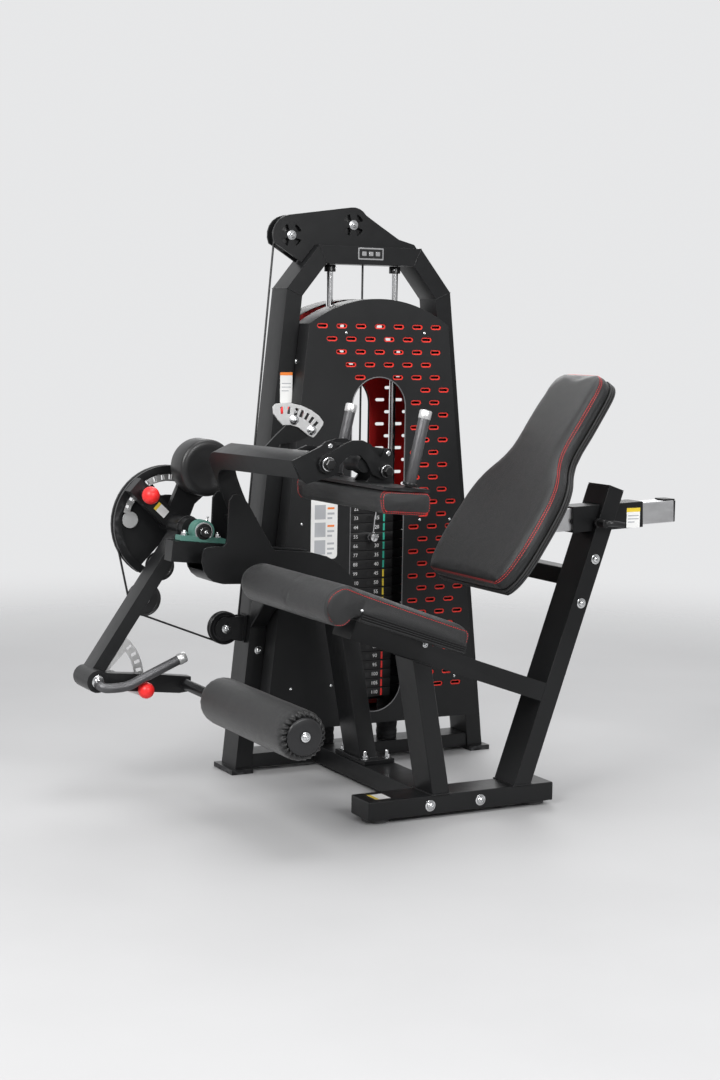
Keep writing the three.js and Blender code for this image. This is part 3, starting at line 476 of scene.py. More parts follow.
def dashes(name, pts, body, r=0.7, dash=5.0, gap=2.2, mat="thread", closed=False):
    """Stitches along a polyline in the shared frame."""
    pts = [Vector(p) for p in pts]
    if closed:
        pts = pts + [pts[0]]
    seg, verts, faces, dist = [], [], [], 0.0
    L = [0.0]
    for a, b in zip(pts, pts[1:]):
        L.append(L[-1] + (b - a).length)

    def at(t):
        for i in range(len(L) - 1):
            if t <= L[i + 1]:
                f = (t - L[i]) / max(1e-9, L[i + 1] - L[i])
                return pts[i].lerp(pts[i + 1], f)
        return pts[-1]
    step, n = (dash + gap) / 1000, 0
    n = int(L[-1] / step)
    R = r / 1000
    for k in range(n):
        a, b = at(k * step), at(k * step + dash / 1000)
        if (b - a).length < 1e-5:
            continue
        d, s, t = frame_of(a, b)
        base = len(verts)
        for f, rr in ((0, 0.4), (0.2, 1), (0.8, 1), (1, 0.4)):
            c = a.lerp(b, f)
            for i in range(5):
                th = 2 * math.pi * i / 5
                verts.append(c + (s * math.cos(th) + t * math.sin(th)) * R * rr)
        for q in range(3):
            for i in range(5):
                j = (i + 1) % 5
                faces.append((base + q * 5 + i, base + q * 5 + j, base + (q + 1) * 5 + j, base + (q + 1) * 5 + i))
        faces.append(tuple(base + i for i in range(5)))
        faces.append(tuple(base + 15 + i for i in range(5)))
    ob = mesh_ob(name, verts, faces)
    bm = bmesh.new(); bm.from_mesh(ob.data); bmesh.ops.recalc_face_normals(bm, faces=bm.faces); bm.to_mesh(ob.data); bm.free()
    return add(ob, body, mat, (), 60)


def inflate(ob, voxel, pressure, cap, pinned, frames=18, sub=True):
    """Cloth simulation that pads a closed shape; pinned(co) says which points stay."""
    rm = ob.modifiers.new("remesh", "REMESH")
    rm.mode, rm.voxel_size, rm.use_smooth_shade = "VOXEL", voxel / 1000, True
    apply_mods(ob)
    rest = [v.co.copy() for v in ob.data.vertices]
    vg = ob.vertex_groups.new(name="pin")
    vg.add([i for i, c in enumerate(rest) if pinned(c)], 1.0, "REPLACE")
    cl = ob.modifiers.new("cloth", "CLOTH")
    st = cl.settings
    st.quality, st.mass = 5, 0.3
    st.tension_stiffness = st.compression_stiffness = st.shear_stiffness = 14
    st.bending_stiffness = 0.6
    st.use_pressure, st.uniform_pressure_force = True, pressure
    st.effector_weights.gravity = 0
    st.vertex_group_mass = "pin"
    cl.point_cache.frame_start, cl.point_cache.frame_end = 1, frames
    cl.collision_settings.use_collision = False
    for f in range(1, frames + 1):
        scene.frame_set(f)
    apply_mods(ob)
    ob.vertex_groups.clear()
    for v, c in zip(ob.data.vertices, rest):
        d = v.co - c
        if d.length > cap / 1000:
            v.co = c + d.normalized() * cap / 1000
    scene.frame_set(1)
    bm = bmesh.new(); bm.from_mesh(ob.data)
    for _ in range(3):
        bmesh.ops.smooth_vert(bm, verts=bm.verts, factor=0.5, use_axis_x=True, use_axis_y=True, use_axis_z=True)
    bm.to_mesh(ob.data); bm.free()
    if sub:
        s = ob.modifiers.new("sub", "SUBSURF"); s.levels = s.render_levels = 1
        apply_mods(ob)
    ob.data.shade_smooth()
    return ob


def surface(ob):
    bm = bmesh.new(); bm.from_mesh(ob.data)
    t = BVHTree.FromBMesh(bm); bm.free()
    return t


def on(tree, p, lift=0.4, toward=None):
    """The nearest point of a padded surface, lifted a little."""
    if toward is not None:
        d = Vector(toward).normalized()
        h = tree.ray_cast(p - d * 0.12, d)
        if h[0] is not None:
            return h[0] + h[1] * (lift / 1000)
    c, n, _, _ = tree.find_nearest(p)
    return c + n * (lift / 1000)


def groove(ob, pts, depth=2.0, width=7.0, closed=True):
    """Presses a sewn seam into a padded surface."""
    from mathutils.kdtree import KDTree
    pts = [Vector(p) for p in pts]
    if closed:
        pts = pts + [pts[0]]
    dense = []
    for a, b in zip(pts, pts[1:]):
        n = max(1, int((b - a).length / 0.002))
        dense += [a.lerp(b, i / n) for i in range(n)]
    kd = KDTree(len(dense))
    for i, p in enumerate(dense):
        kd.insert(p, i)
    kd.balance()
    W, D = width / 1000, depth / 1000
    nor = [v.normal.copy() for v in ob.data.vertices]
    for v, n in zip(ob.data.vertices, nor):
        _, _, d = kd.find(v.co)
        if d < W:
            f = math.cos(d / W * math.pi / 2) ** 2
            v.co = v.co - n * D * f
    ob.data.update()


def rrect(cx_, cz_, w, h, r, n=5, ang=0):
    out = []
    for sx, sz, a0 in ((1, 1, 0), (-1, 1, 90), (-1, -1, 180), (1, -1, 270)):
        c = (sx * (w / 2 - r), sz * (h / 2 - r))
        out += arc(c, r, a0, a0 + 90, n)
    ca, sa = math.cos(ang * RAD), math.sin(ang * RAD)
    return [(cx_ + x * ca - z * sa, cz_ + x * sa + z * ca) for x, z in out]

# ---------------------------------------------------------------- hard parts carried over, with rounded edges
for node, mat, w in [
    ("front_floor_bar", "frame", 4), ("floor_beam", "frame", 3), ("tower_frame", "frame", 5), ("seat_post", "frame", 4),
    ("seat_beam", "frame", 3), ("back_post", "frame", 3.5), ("back_slide_sleeve", "frame", 2.5), ("brace_right", "frame", 4),
    ("backrest_board", "leather2", 2.0), ("side_post", "frame", 3.5), ("side_cheeks", "frame", 1.2), ("pivot_support", "frame", 2),
    ("brace_left", "frame", 4), ("leg_lever", "frame", 3), ("thigh_arm", "frame", 3.0), ("thigh_link", "frame", 1.4),
    ("thigh_carrier", "frame", 1.2), ("thigh_parallel_link", "frame", 1.0), ("cam_disc", "frame", 1.2), ("roller_arm", "frame", 2),
    ("top_pulley_bracket", "frame", 1.2), ("lower_pulley_bracket", "frame", 1.0), ("stack_base", "rubber", 1.5),
    ("front_foot_left", "foot", 2), ("front_foot_right", "foot", 2), ("weight_plates_resting", "plates", 1.3),
    ("weight_plates_lifted", "plates", 1.3), ("weight_head_plate", "plates", 1.5), ("cam_index_plate", "alu", 0.7),
    ("lower_index_plate", "alu", 0.7), ("thigh_index_plate", "alu", 0.7), ("back_slide_tube", "tube", 2.5),
    ("pillow_block", "green", 2.5), ("slide_pin", "plastic", 1), ("pivot_shaft", "zinc", 0.8)]:
    hard(node, mat, w)

# ---------------------------------------------------------------- turned parts
for side, x in (("left", -105.5), ("right", 105.5)):
    ob = lathe("guide_rod_" + side + ".fine", P(x, 718, 52.4), P(x, 718, 60), [(0, 0), (10, 0), (10, 1392.9), (0, 1392.9)], 40)
    add(ob, "frame", "chrome", ("guide_rod_" + side,), 40)
    ob = lathe("rod_collar_" + side, P(x, 718, 1424), P(x, 718, 1430), [(10.1, 0), (15.5, 0), (16.5, 1), (16.5, 18), (15.5, 20), (10.1, 20)], 32)
    add(ob, "frame", "plastic", (), 40)
    bolts("collar_screw_" + side, "frame", [(x + (10 if x < 0 else -10), 704, 1434, (0.5 if x < 0 else -0.5, -1, 0), 3.2, 3, "d")])
    # springs of rubber under the stack
    rub = [lathe("ring", P(x, 718, z), P(x, 718, z + 1), [(10.3, 0), (27, 0), (30.5, 3), (31.5, 12), (30.5, 20), (27, 23), (10.3, 23)], 40) for z in (60, 86, 112, 138)]
    add(join("stack_buffer_" + side, rub), "frame", "rubber", (), 50)


def pulley(name, body, c, node, rim=47, y0=707, y1=729):
    ym = (y0 + y1) / 2
    a, b = P(c[0], y0, c[1]), P(c[0], y1, c[1])
    L = y1 - y0
    prof = [(8.2, 0), (14, 0), (15, 1), (15, 2.5), (20, 3.2), (rim - 9, 3.2), (rim - 6, 0.6), (rim - 1, 0.2), (rim, 1), (rim, 3.2), (rim - 1.5, 4.2), (rim - 7.5, L / 2 - 2.6),
            (rim - 8, L / 2), (rim - 7.5, L / 2 + 2.6), (rim - 1.5, L - 4.2), (rim, L - 3.2), (rim, L - 1), (rim - 1, L - 0.2), (rim - 6, L - 0.6), (rim - 9, L - 3.2), (20, L - 3.2), (15, L - 2.5), (15, L - 1), (14, L), (8.2, L), (8.2, 0)]
    add(lathe(name + ".fine", a, b, prof, 96), body, "nylon", (node,), 40)
    br = lathe(name + "_bearing", a, b, [(8.2, -0.3), (13.6, -0.3), (13.6, L + 0.3), (8.2, L + 0.3), (8.2, -0.3)], 40)
    add(br, body, "cap", (), 40)


pulley("top_pulley_left", "pulley_top_left", TOPL, "top_pulley_left")
pulley("top_pulley_right", "pulley_top_right", TOPR, "top_pulley_right")
pulley("lower_pulley", "pulley_low", LOWP, "lower_pulley")
pulley("idler_pulley_lower", "pulley_idler_low", IDLER_A, "idler_pulley_lower")
pulley("idler_pulley_upper", "pulley_idler_up", IDLER_B, "idler_pulley_upper", 40, 708, 728)


def ball(name, body, c, y, r, node, stem_to, sr=6):
    """Ball knob with a neck and its pin; the pin runs along +Y."""
    prof = [(0, -r)] + [(r * math.cos(t * RAD), r * math.sin(t * RAD)) for t in range(-84, 66, 6)]
    prof += [(r * 0.40, r * 0.93), (r * 0.40, r * 1.02), (0, r * 1.02)]
    k = lathe(name + "_ball", P(c[0], y, c[1]), P(c[0], y + 1, c[1]), prof, 64)
    add(k, body, "red", (node,), 60)
    L = stem_to - y
    s = lathe(name + "_stem", P(c[0], y, c[1]), P(c[0], y + 1, c[1]), [(0, r * 0.9), (7.6, r * 0.9), (7.6, r + 3), (9.5, r + 3.5), (9.5, r + 7.5), (sr, r + 8.5), (sr, L - 1), (sr - 1, L), (0, L)], 32)
    add(s, body, "cap", (), 40)


LPIN = polar(PIVOT, 128, 137)
ball("lever_pin", "lever_index_pin", LPIN, 602, 24, "lever_pin", 705.5)
ball("roller_pin", "ankle_index_pin", (-745.5, 294.5), 505, 22, "roller_pin", 566)
TPIN = polar(BOLT1, 122, 75)
tb = lathe("thigh_pin_ball", P(TPIN[0], 302, TPIN[1]), P(TPIN[0], 300, TPIN[1]), [(0, -15)] + [(15 * math.cos(t * RAD), 15 * math.sin(t * RAD)) for t in range(-84, 66, 6)] + [(5.5, 14.2), (0, 14.2)], 64)
add(tb, "thigh_index_pin", "red", ("thigh_pin",), 60)
tb = lathe("thigh_pin_stem", P(TPIN[0], 302, TPIN[1]), P(TPIN[0], 296, TPIN[1]), [(0, 13.8), (6, 13.8), (7, 16), (7, 24), (4.5, 25), (4.5, 55), (3.5, 56.6), (0, 56.6)], 32)
add(tb, "thigh_index_pin", "cap", (), 40)

# selector pin with its lanyard eye
a = P(0, 620, PIN_Z)
ob = lathe("selector_pin.fine", a, P(0, 640, PIN_Z), [(0, -3), (6, -3), (11, -2), (13, 1), (13, 4), (12.2, 5), (12.2, 13), (13, 14), (13, 18), (12, 20), (4.5, 20.5), (4.5, 84), (3, 86), (0, 86)], 40)
add(ob, "selector", "cap", ("selector_pin",), 40)
lan = [P(14, 649, 793.6), P(17, 644, 786), P(19, 641, 772), P(18, 639, 755), P(15, 638, 735), P(12, 637, 715), P(9, 636, 700), P(6, 634, 690), P(3, 632, 682), P(2, 631, 678.5)]


def smooth_path(pts, n=8):
    """Catmull-Rom through the points."""
    out = []
    for i in range(len(pts) - 1):
        p0, p1, p2, p3 = pts[max(0, i - 1)], pts[i], pts[i + 1], pts[min(len(pts) - 1, i + 2)]
        for k in range(n):
            t = k / n
            out.append(0.5 * ((2 * p1) + (p2 - p0) * t + (2 * p0 - 5 * p1 + 4 * p2 - p3) * t * t + (3 * p1 - p0 - 3 * p2 + p3) * t ** 3))
    out.append(pts[-1])
    return out


HZ = 193.5 + 27 * 21
lanp = smooth_path([P(14, 649, HZ + 8), P(16, 643, HZ - 6), P(15, 640, HZ - 30), P(11, 637, PIN_Z + 60), P(7, 634, PIN_Z + 35), P(3, 631, PIN_Z + 15.2)], 4)
lo = tube("pin_lanyard.fine", lanp, 1.5, "weight_stack", "cord", poly=True, replace=("pin_lanyard",))
ring = [P(3, 631 + 7 * math.cos(t * RAD), PIN_Z + 15.2 - 7 + 7 * math.sin(t * RAD)) for t in range(90, 450, 24)]
tube("lanyard_eye", ring, 1.1, "selector", "cap", cyclic=True)

# ---------------------------------------------------------------- cables
R = 43
route = [polar(PIVOT, 154, 192.4), *arc(IDLER_A, R, 192.4, 248.6, 10), *arc(LOWP, R, 248.6, 354.7, 16), *arc(TOPL, R, 174.7, 100.45, 12), *arc(TOPR, R, 100.45, 0, 16)]
tube("lift_cable.fine", [P(x, 718, z) for x, z in route], 3, "frame", "cable", poly=True, replace=("lift_cable",))
wrap = [P(x, 718, z) for x, z in arc(PIVOT, 153.5, 60, 192, 40)]
tube("cam_cable_wrap", wrap, 3, "cam", "cable", poly=True)
add(lathe("stack_cable.fine", P(0, 718, HEAD_Z1 + 26.3), P(0, 718, 1556.7), [(0, 0), (3, 0), (3, 1556.7 - HEAD_Z1 - 26.3), (0, 1556.7 - HEAD_Z1 - 26.3)], 16), "frame", "cable", ("stack_cable",), 50)
add(lathe("cable_ferrule", P(0, 718, HEAD_Z1 + 2), P(0, 718, HEAD_Z1 + 20), [(9.1, 0), (14, 0), (14, 14), (11, 17), (11, 24), (9, 25)], 32), "weight_stack", "zinc", (), 40)

# ---------------------------------------------------------------- weight stack front: numerals and colour bars
def text_mesh(body_text, x, y, z, size, align="CENTER"):
    cu = bpy.data.curves.new("t", "FONT")
    cu.body, cu.size, cu.align_x, cu.align_y, cu.extrude = body_text, size / 1000, align, "CENTER", 0.0001
    cu.resolution_u = 2
    tmp = bpy.data.objects.new("t", cu)
    scene.collection.objects.link(tmp)
    bpy.context.view_layer.update()
    me = bpy.data.meshes.new_from_object(tmp.evaluated_get(bpy.context.evaluated_depsgraph_get()))
    bpy.data.objects.remove(tmp)
    c = P(x, y, z)
    for v in me.vertices:
        v.co = Vector((c.x + v.co.x, c.y - v.co.z, c.z + v.co.y))
    ob = bpy.data.objects.new("t", me)
    scene.collection.objects.link(ob)
    return ob


def boxm(x0, x1, y0, y1, z0, z1):
    v = [P(x, y, z) for x in (x0, x1) for y in (y0, y1) for z in (z0, z1)]
    ob = mesh_ob("bx", v, [(0, 1, 3, 2), (4, 6, 7, 5), (0, 4, 5, 1), (2, 3, 7, 6), (0, 2, 6, 4), (1, 5, 7, 3)])
    return ob


for grp, idx in (("rest", range(0, 17)), ("lift", range(17, 21))):
    body = "frame" if grp == "rest" else "weight_stack"
    nums, bars = [], {"barg": [], "bary": [], "barr": []}
    for i in idx:
        kg = 10 + 5 * (20 - i)
        z = 193.5 + 27 * i + 12.8
        nums.append(text_mesh(str(round(kg * 2.2046)), -44, 650.8, z, 15))
        nums.append(text_mesh(str(kg), 25, 650.8, z, 15))
        bars["barg" if kg <= 40 else "bary" if kg <= 85 else "barr"].append(boxm(45, 50.5, 650.4, 651, z - 10.5, z + 10.5))
    add(join("plate_numerals_" + grp, nums), body, "num")
    for k, v in bars.items():
        if v:
            add(join("plate_bar_" + k + "_" + grp, v), body, k)
    holes = [lathe("h", P(0, 651.2, 193.5 + 27 * i + 12.8), P(0, 640, 193.5 + 27 * i + 12.8), [(0, 0), (5, 0), (6.5, 0.6), (7, 0.9)], 24) for i in idx if not (grp == "lift" and i == 17)]
    add(join("pin_holes_" + grp, holes), body, "plastic")

# ---------------------------------------------------------------- shrouds: slotted sheets
def shroud_x(z):
    return 410 - 50 / math.cos(math.atan(0.1066)) - 0.10659 * (z - 12) - 1.5


def shroud_line(inset, z0, n=28):
    zs = 1275
    hw, sag = shroud_x(zs) - inset, 73 - inset * 0.6
    Rr = (hw * hw + sag * sag) / (2 * sag)
    h = math.asin(hw / Rr) / RAD
    return [(-(shroud_x(z0) - inset), z0), (shroud_x(z0) - inset, z0), *arc((0, zs + sag - Rr), Rr, 90 - h, 90 + h, n)]


def slot_ring(x, z, w, h, n=5):
    r = h / 2
    return arc((x + w / 2 - r, z), r, -90, 90, n) + arc((x - w / 2 + r, z), r, 90, 270, n)


def window_ring(hw, z0, z1, n=20):
    return arc((0, z1 - hw), hw, 0, 180, n) + arc((0, z0 + hw), hw, 180, 360, n)


front = []
for k in range(0, 30):
    z, off = 1270 - 36 * k, 0 if k % 2 == 0 else 30.5
    for j in range(-7, 8):
        x = 61 * j + off
        if abs(x) > shroud_x(z) - 28:
            continue
        if x < 0 and (k > 4 or x < -184 + 30.5 * k):
            continue
        if k > 4 and x < 108:
            continue
        if k == 4 and abs(x) < 40:
            continue
        front.append((x, z))
rear = [(61 * j + (0 if k % 2 == 0 else 30.5), 1270 - 36 * k) for k in range(0, 30) for j in range(-7, 8)]
rear = [(x, z) for x, z in rear if abs(x) < shroud_x(z) - 32 and not (abs(x) < 108 and z < 1150 and z > 130)]
sh = flat("front_shroud.fine", shroud_line(0, 125), 605, 607.6, [window_ring(86, 160, 1126)] + [slot_ring(x, z, 35, 14) for x, z in front], 0.5)
add(sh, "frame", "sheet", ("front_shroud",), 40)
add(flat("front_shroud_flange", shroud_line(0, 125) , 607.6, 690, [shroud_line(2.6, 127)], 0.4), "frame", "sheet", (), 40)
add(flat("front_shroud_red", shroud_line(7, 135), 607.8, 609.0, [window_ring(93, 152, 1133)] + [slot_ring(x, z, 27.5, 7.0) for x, z in front], 0.3), "frame", "rededge", (), 40)
# painted shade: a black sheet inside the front shroud darkens most slots, leaving a few open
add(flat("front_shroud_shade_sheet", shroud_line(12, 140), 622, 623, [window_ring(96, 149, 1136)] + [slot_ring(x, z, 30, 10) for x, z in front if (x * 7 + z * 3) % 5 < 1.2], 0.3), "frame", "painted_shade", (), 40)
win = [P(x, 605.2, z) for x, z in window_ring(86.6, 159.4, 1126.6, 28)]
tube("window_trim", win, 1.6, "frame", "offwhite", cyclic=True, poly=True)
win2 = [P(x, 831.2, z) for x, z in window_ring(86.6, 159.4, 1126.6, 28)]
tube("rear_window_trim", win2, 1.6, "frame", "offwhite", cyclic=True, poly=True)
add(flat("rear_shroud.fine", shroud_line(0, 125), 828.4, 831, [window_ring(86, 160, 1126)] + [slot_ring(x, z, 35, 14) for x, z in rear], 0.5), "frame", "sheet", ("rear_shroud",), 40)
add(flat("rear_shroud_flange", shroud_line(0, 125), 746, 828.4, [shroud_line(2.6, 127)], 0.4), "frame", "sheet", (), 40)
add(flat("rear_shroud_red", shroud_line(7, 135), 824, 826, [window_ring(88, 158, 1128)] + [slot_ring(x, z, 31, 9) for x, z in rear], 0.3), "frame", "redsheet", (), 40)

# placard, labels and the maker's tag, all blank or generic
def label(name, x0, x1, z0, z1, y, body="frame", base="white", bars=(), r=4, th=0.5):
    add(flat(name, rrect((x0 + x1) / 2, (z0 + z1) / 2, x1 - x0, z1 - z0, r), y - th, y, (), 0.1), body, base, (), 40)
    for i, (fx0, fx1, fz0, fz1, m) in enumerate(bars):
        add(boxr(name + "_bar%d" % i, x0 + (x1 - x0) * fx0, x0 + (x1 - x0) * fx1, y - th - 0.25, y - th, z0 + (z1 - z0) * fz0, z0 + (z1 - z0) * fz1), body, m)


def boxr(name, *a):
    ob = boxm(*a)
    ob.name = name
    return ob


bars = [(0.12, 0.88, 0.93, 0.96, "grey")]
for i in range(3):
    z = 0.66 - 0.27 * i
    bars += [(0.14, 0.55, z - 0.05, z + 0.17, "grey"), (0.62, 0.88, z + 0.10, z + 0.13, "orange" if i < 2 else "grey"), (0.62, 0.88, z + 0.02, z + 0.05, "grey"), (0.62, 0.80, z - 0.05, z - 0.02, "grey")]
label("placard", -212, -128, 612, 798, 604.8, bars=bars, r=12)
label("tower_label", -283, -245, 1052, 1138, 667.8, bars=[(0, 1, 0.9, 1, "orange"), (0.12, 0.88, 0.62, 0.65, "grey"), (0.12, 0.88, 0.5, 0.53, "grey"), (0.12, 0.7, 0.38, 0.41, "grey")], r=2)
label("maker_tag", -42, 40, 1459, 1493, 667.8, base="cap", r=3, th=1.2)
add(flat("maker_tag_field", rrect(-1, 1476, 74, 26, 2), 665.6, 666.6, (), 0.2), "frame", "plastic", (), 40)
tag = [flat("q", rrect(-1 + dx, 1476, 14, 12, 1.5), 665.2, 665.8, (), 0.1) for dx in (-22, 0, 22)]
add(join("maker_tag_marks", tag), "frame", "cap", (), 40)

# ---------------------------------------------------------------- caps, welds, bolts
def weld(name, pts, body="frame", r=2.2, mat="frame"):
    """Rippled bead along a polyline (mm)."""
    pts = [P(*p) for p in pts]
    dense = []
    for a, b in zip(pts, pts[1:]):
        n = max(2, int((b - a).length / 0.0022))
        dense += [a.lerp(b, i / n) for i in range(n)]
    dense.append(pts[-1])
    verts, faces, S = [], [], 7
    for i, p in enumerate(dense):
        q = dense[min(i + 1, len(dense) - 1)] - dense[max(i - 1, 0)]
        d, s, t = frame_of(Vector((0, 0, 0)), q)
        rr = r / 1000 * (1 + 0.18 * math.sin(i * 2.1) + 0.08 * math.sin(i * 5.3))
        for k in range(S):
            th = 2 * math.pi * k / S
            verts.append(p + (s * math.cos(th) + t * math.sin(th)) * rr)
    for i in range(len(dense) - 1):
        for k in range(S):
            j = (k + 1) % S
            faces.append((i * S + k, i * S + j, (i + 1) * S + j, (i + 1) * S + k))
    faces.append(tuple(range(S))); faces.append(tuple(range(len(verts) - S, len(verts))))
    ob = mesh_ob(name, verts, faces)
    bm = bmesh.new(); bm.from_mesh(ob.data); bmesh.ops.recalc_face_normals(bm, faces=bm.faces); bm.to_mesh(ob.data); bm.free()
    if body:
        add(ob, body, mat, (), 80)
    return ob


inner = [(-315.6, 1372.5 - 21), (315.6, 1372.5 - 21)]
kn = [((-265, 1372.5), (-218.2, 1352)), ((265, 1372.5), (218.2, 1352)), ((-165, 1495.7), (-141.5, 1445.7)), ((165, 1495.7), (141.5, 1445.7))]
beads = []
for i, (o, n_) in enumerate(kn):
    loop = [(o[0], 668, o[1]), (n_[0], 668, n_[1]), (n_[0], 765, n_[1]), (o[0], 765, o[1]), (o[0], 668, o[1])]
    beads.append(weld("w", loop, None, 1.3))
add(join("tower_welds", beads), "frame", "frame", (), 80)


def bz(x):
    return 347.35 - 0.35 * x


posts = []
for y in (0, 100):
    posts.append(weld("w", [(-159, y, 402.5), (-216 + 0, y, 422.5)], None, 2.4))
add(join("seat_post_welds", posts), "frame", "frame", (), 80)
ws = [weld("w", [(-154, 399, 75), (-95, 399, 75), (-95, 501, 75), (-154, 501, 75), (-154, 399, 75)], None, 2.6),
      weld("w", [(-151, -0.5, 62.5), (-98, -0.5, 62.5), (-98, 100.5, 62.5), (-151, 100.5, 62.5), (-151, -0.5, 62.5)], None, 2.6),
      weld("w", [(98.5, -0.5, 62.5), (153, -0.5, 62.5), (153, 100.5, 62.5), (98.5, 100.5, 62.5), (98.5, -0.5, 62.5)], None, 2.6)]
add(join("post_foot_welds", ws), "frame", "frame", (), 80)

V = (0, -1, 0)
bolts("tower_bolts", "frame", [(-227, 667.8, 1167, V, 7.5, 6, "wds"), (-342, 667.8, 352, V, 8.5, 6.5, "wds")])
bolts("shroud_screws", "frame", [(x, 604.8, z, V, 4.4, 3.2, "ds") for x, z in ((-109, 1251), (145, 1253), (141, 714), (241, 713), (269, 245), (-269, 245), (-241, 713), (141, 245), (-141, 245))])
bolts("rear_shroud_screws", "frame", [(x, 831.2, z, (0, 1, 0), 4.4, 3.2, "ds") for x, z in ((-109, 1251), (109, 1251), (-241, 713), (241, 713), (269, 245), (-269, 245))])
bolts("base_bolts", "frame", [(-157, -0.2, 36, V, 10.5, 7, "wds"), (-5, -0.2, 36, V, 10.5, 7, "wds")])
flg = [(-141, 392, 74.8), (-76, 386, 74.8), (-136, 528, 74.8), (-76, 528, 74.8)]
bolts("side_post_bolts", "frame", [(x, y, z, (0, 0, 1), 8, 9, "w") for x, y, z in flg])
studs = [lathe("s", P(x, y, z + 8), P(x, y, z + 20), [(0, 0), (4.6, 0), (4.6, 13), (3.6, 15), (0, 15)], 20) for x, y, z in flg]
add(join("side_post_studs", studs), "frame", "zinc", (), 40)
bolts("back_post_bolts", "frame", [(337 + 2, -0.2, 659, V, 9.5, 6.5, "wds"), (297, -0.2, 542, V, 9.5, 6.5, "wds")])
bolts("pulley_bolts", "frame", [(TOPL[0], 695.8, TOPL[1], V, 9.5, 8, "w"), (TOPR[0], 695.8, TOPR[1], V, 9.5, 8, "w"), (LOWP[0], 699.8, LOWP[1], V, 9.5, 8, "wds"),
                               (TOPL[0], 740.2, TOPL[1], (0, 1, 0), 9.5, 8, "w"), (TOPR[0], 740.2, TOPR[1], (0, 1, 0), 9.5, 8, "w"), (LOWP[0], 736.2, LOWP[1], (0, 1, 0), 9.5, 8, "w"), (-78, 741, 1508, (0, 1, 0), 6, 5, "w")])
for nm, c in (("top_left", TOPL), ("top_right", TOPR)):
    add(lathe("axle_" + nm, P(c[0], 702.2, c[1]), P(c[0], 740, c[1]), [(0, 0), (7.6, 0), (7.6, 31.5), (0, 31.5)], 24), "frame", "zinc", (), 40)
bolts("idler_bolts", "frame", [(IDLER_A[0], 707, IDLER_A[1], V, 9.5, 7, "wds"), (IDLER_B[0], 708, IDLER_B[1], V, 9, 7, "wds")])
bolts("seat_bolts", "frame", [(-182, -0.2, 460, V, 5.5, 4, "wds")])

# thigh linkage bolts
for nm, c, y, r in (("a", BOLT1, -14.2, 14.5), ("b", BOLT2, -13.2, 13)):
    add(lathe("pivot_washer_" + nm, P(c[0], y + 5.6, c[1]), P(c[0], y, c[1]), [(9, 0), (r + 2.6, 0), (r + 3, 0.8), (r + 3, 2.4), (r + 2, 3.2), (9, 3.2)], 48), "thigh_main_link", "cap", (), 40)
    hx = [lathe("h", P(c[0], y + 1.6, c[1]), P(c[0], y - 10, c[1]), [(0, 0), (r + 1.5, 0), (r + 1.5, 3), (r, 3.4)], 48), lathe("h2", P(c[0], y - 1.4, c[1]), P(c[0], y - 10, c[1]), [(0, 0), (r, 0), (r, 8.5), (r * 0.86, 10.5), (r * 0.6, 10.8), (0, 10.8)], 6)]
    add(join("pivot_bolt_" + nm, hx), "thigh_main_link", "plastic", (), 40)
add(lathe("link_cross_tube", P(-360, 8.8, 925), P(-360, 90, 925), [(16.2, 0), (20, 0), (20, 81), (16.2, 81)], 48), "thigh_main_link", "frame", (), 40)
bolts("thigh_second_bolts", "thigh_second_link", [(BOLT1[0] + LOFF[0], 9.0, BOLT1[1] + LOFF[1], V, 7, 5, "ds"), (BOLT2[0] + LOFF[0], 9.0, BOLT2[1] + LOFF[1], V, 7, 5, "ds")])
bolts("thigh_plate_nuts", "frame", [(-446, 239.8, 1026, V, 9, 9, "wd"), (-395, 239.8, 999, V, 9, 9, "wd")])

# grab handles: knurled dark grip and a bright end cap
for nm, y in (("near", -145), ("far", 245)):
    a, b = P(-318.5, y, 883.5), P(-276, y, 1067)
    L = (b - a).length * 1000
    add(lathe("grab_handle_" + nm + ".fine", a, b, [(0, 0), (13.4, 0), (14, 1), (14, L - 22), (0, L - 22)], 48), "thigh_hold_down", "grip", ("grab_handle_" + nm,), 40)
    add(lathe("grab_cap_" + nm, a, b, [(0, L - 22), (14.8, L - 22), (15.4, L - 21), (15.4, L - 3), (13.6, L - 0.6), (0, L)], 64), "thigh_hold_down", "alu", (), 40)
    add(lathe("grab_base_" + nm, a, b, [(14.1, 0.5), (18, 0.5), (18.5, 2), (17.6, 6), (14.1, 7)], 48), "thigh_hold_down", "frame", (), 40)
gp = smooth_path([P(-871.5, 527.6, 315), P(-871.5, 513, 315), P(-864.5, 503, 310.5), P(-846, 499, 309), P(-812, 498, 310), P(-785, 498, 317), P(-757, 498, 329.5), P(-700, 498, 353.8), P(-647, 498, 376.2)], 8)
tube("arm_grip.fine", gp, 13.5, "ankle_arm", "grip", poly=True, replace=("arm_grip",))
a, b = P(-658, 498, 371.5), P(-636, 498, 380.8)
L = (b - a).length * 1000
add(lathe("arm_grip_cap", a, b, [(0, 0), (14.6, 0), (15.2, 1), (15.2, L - 3), (13.4, L - 0.5), (0, L)], 64), "ankle_arm", "alu", (), 40)

# ankle roller: a stitched sleeve gathered round its cap
def pleat(k, r, h, th):
    if k in PLE:
        amp, tw = PLE[k]
        w = math.sin(24 * (th + tw) + 0.5 * math.sin(5 * th))
        w = abs(w) ** 0.6 * (1 if w > 0 else -0.55)
        return r - abs(amp) * 0.25 * (1 - w), h - amp * w * 0.9, th
    return r, h, th


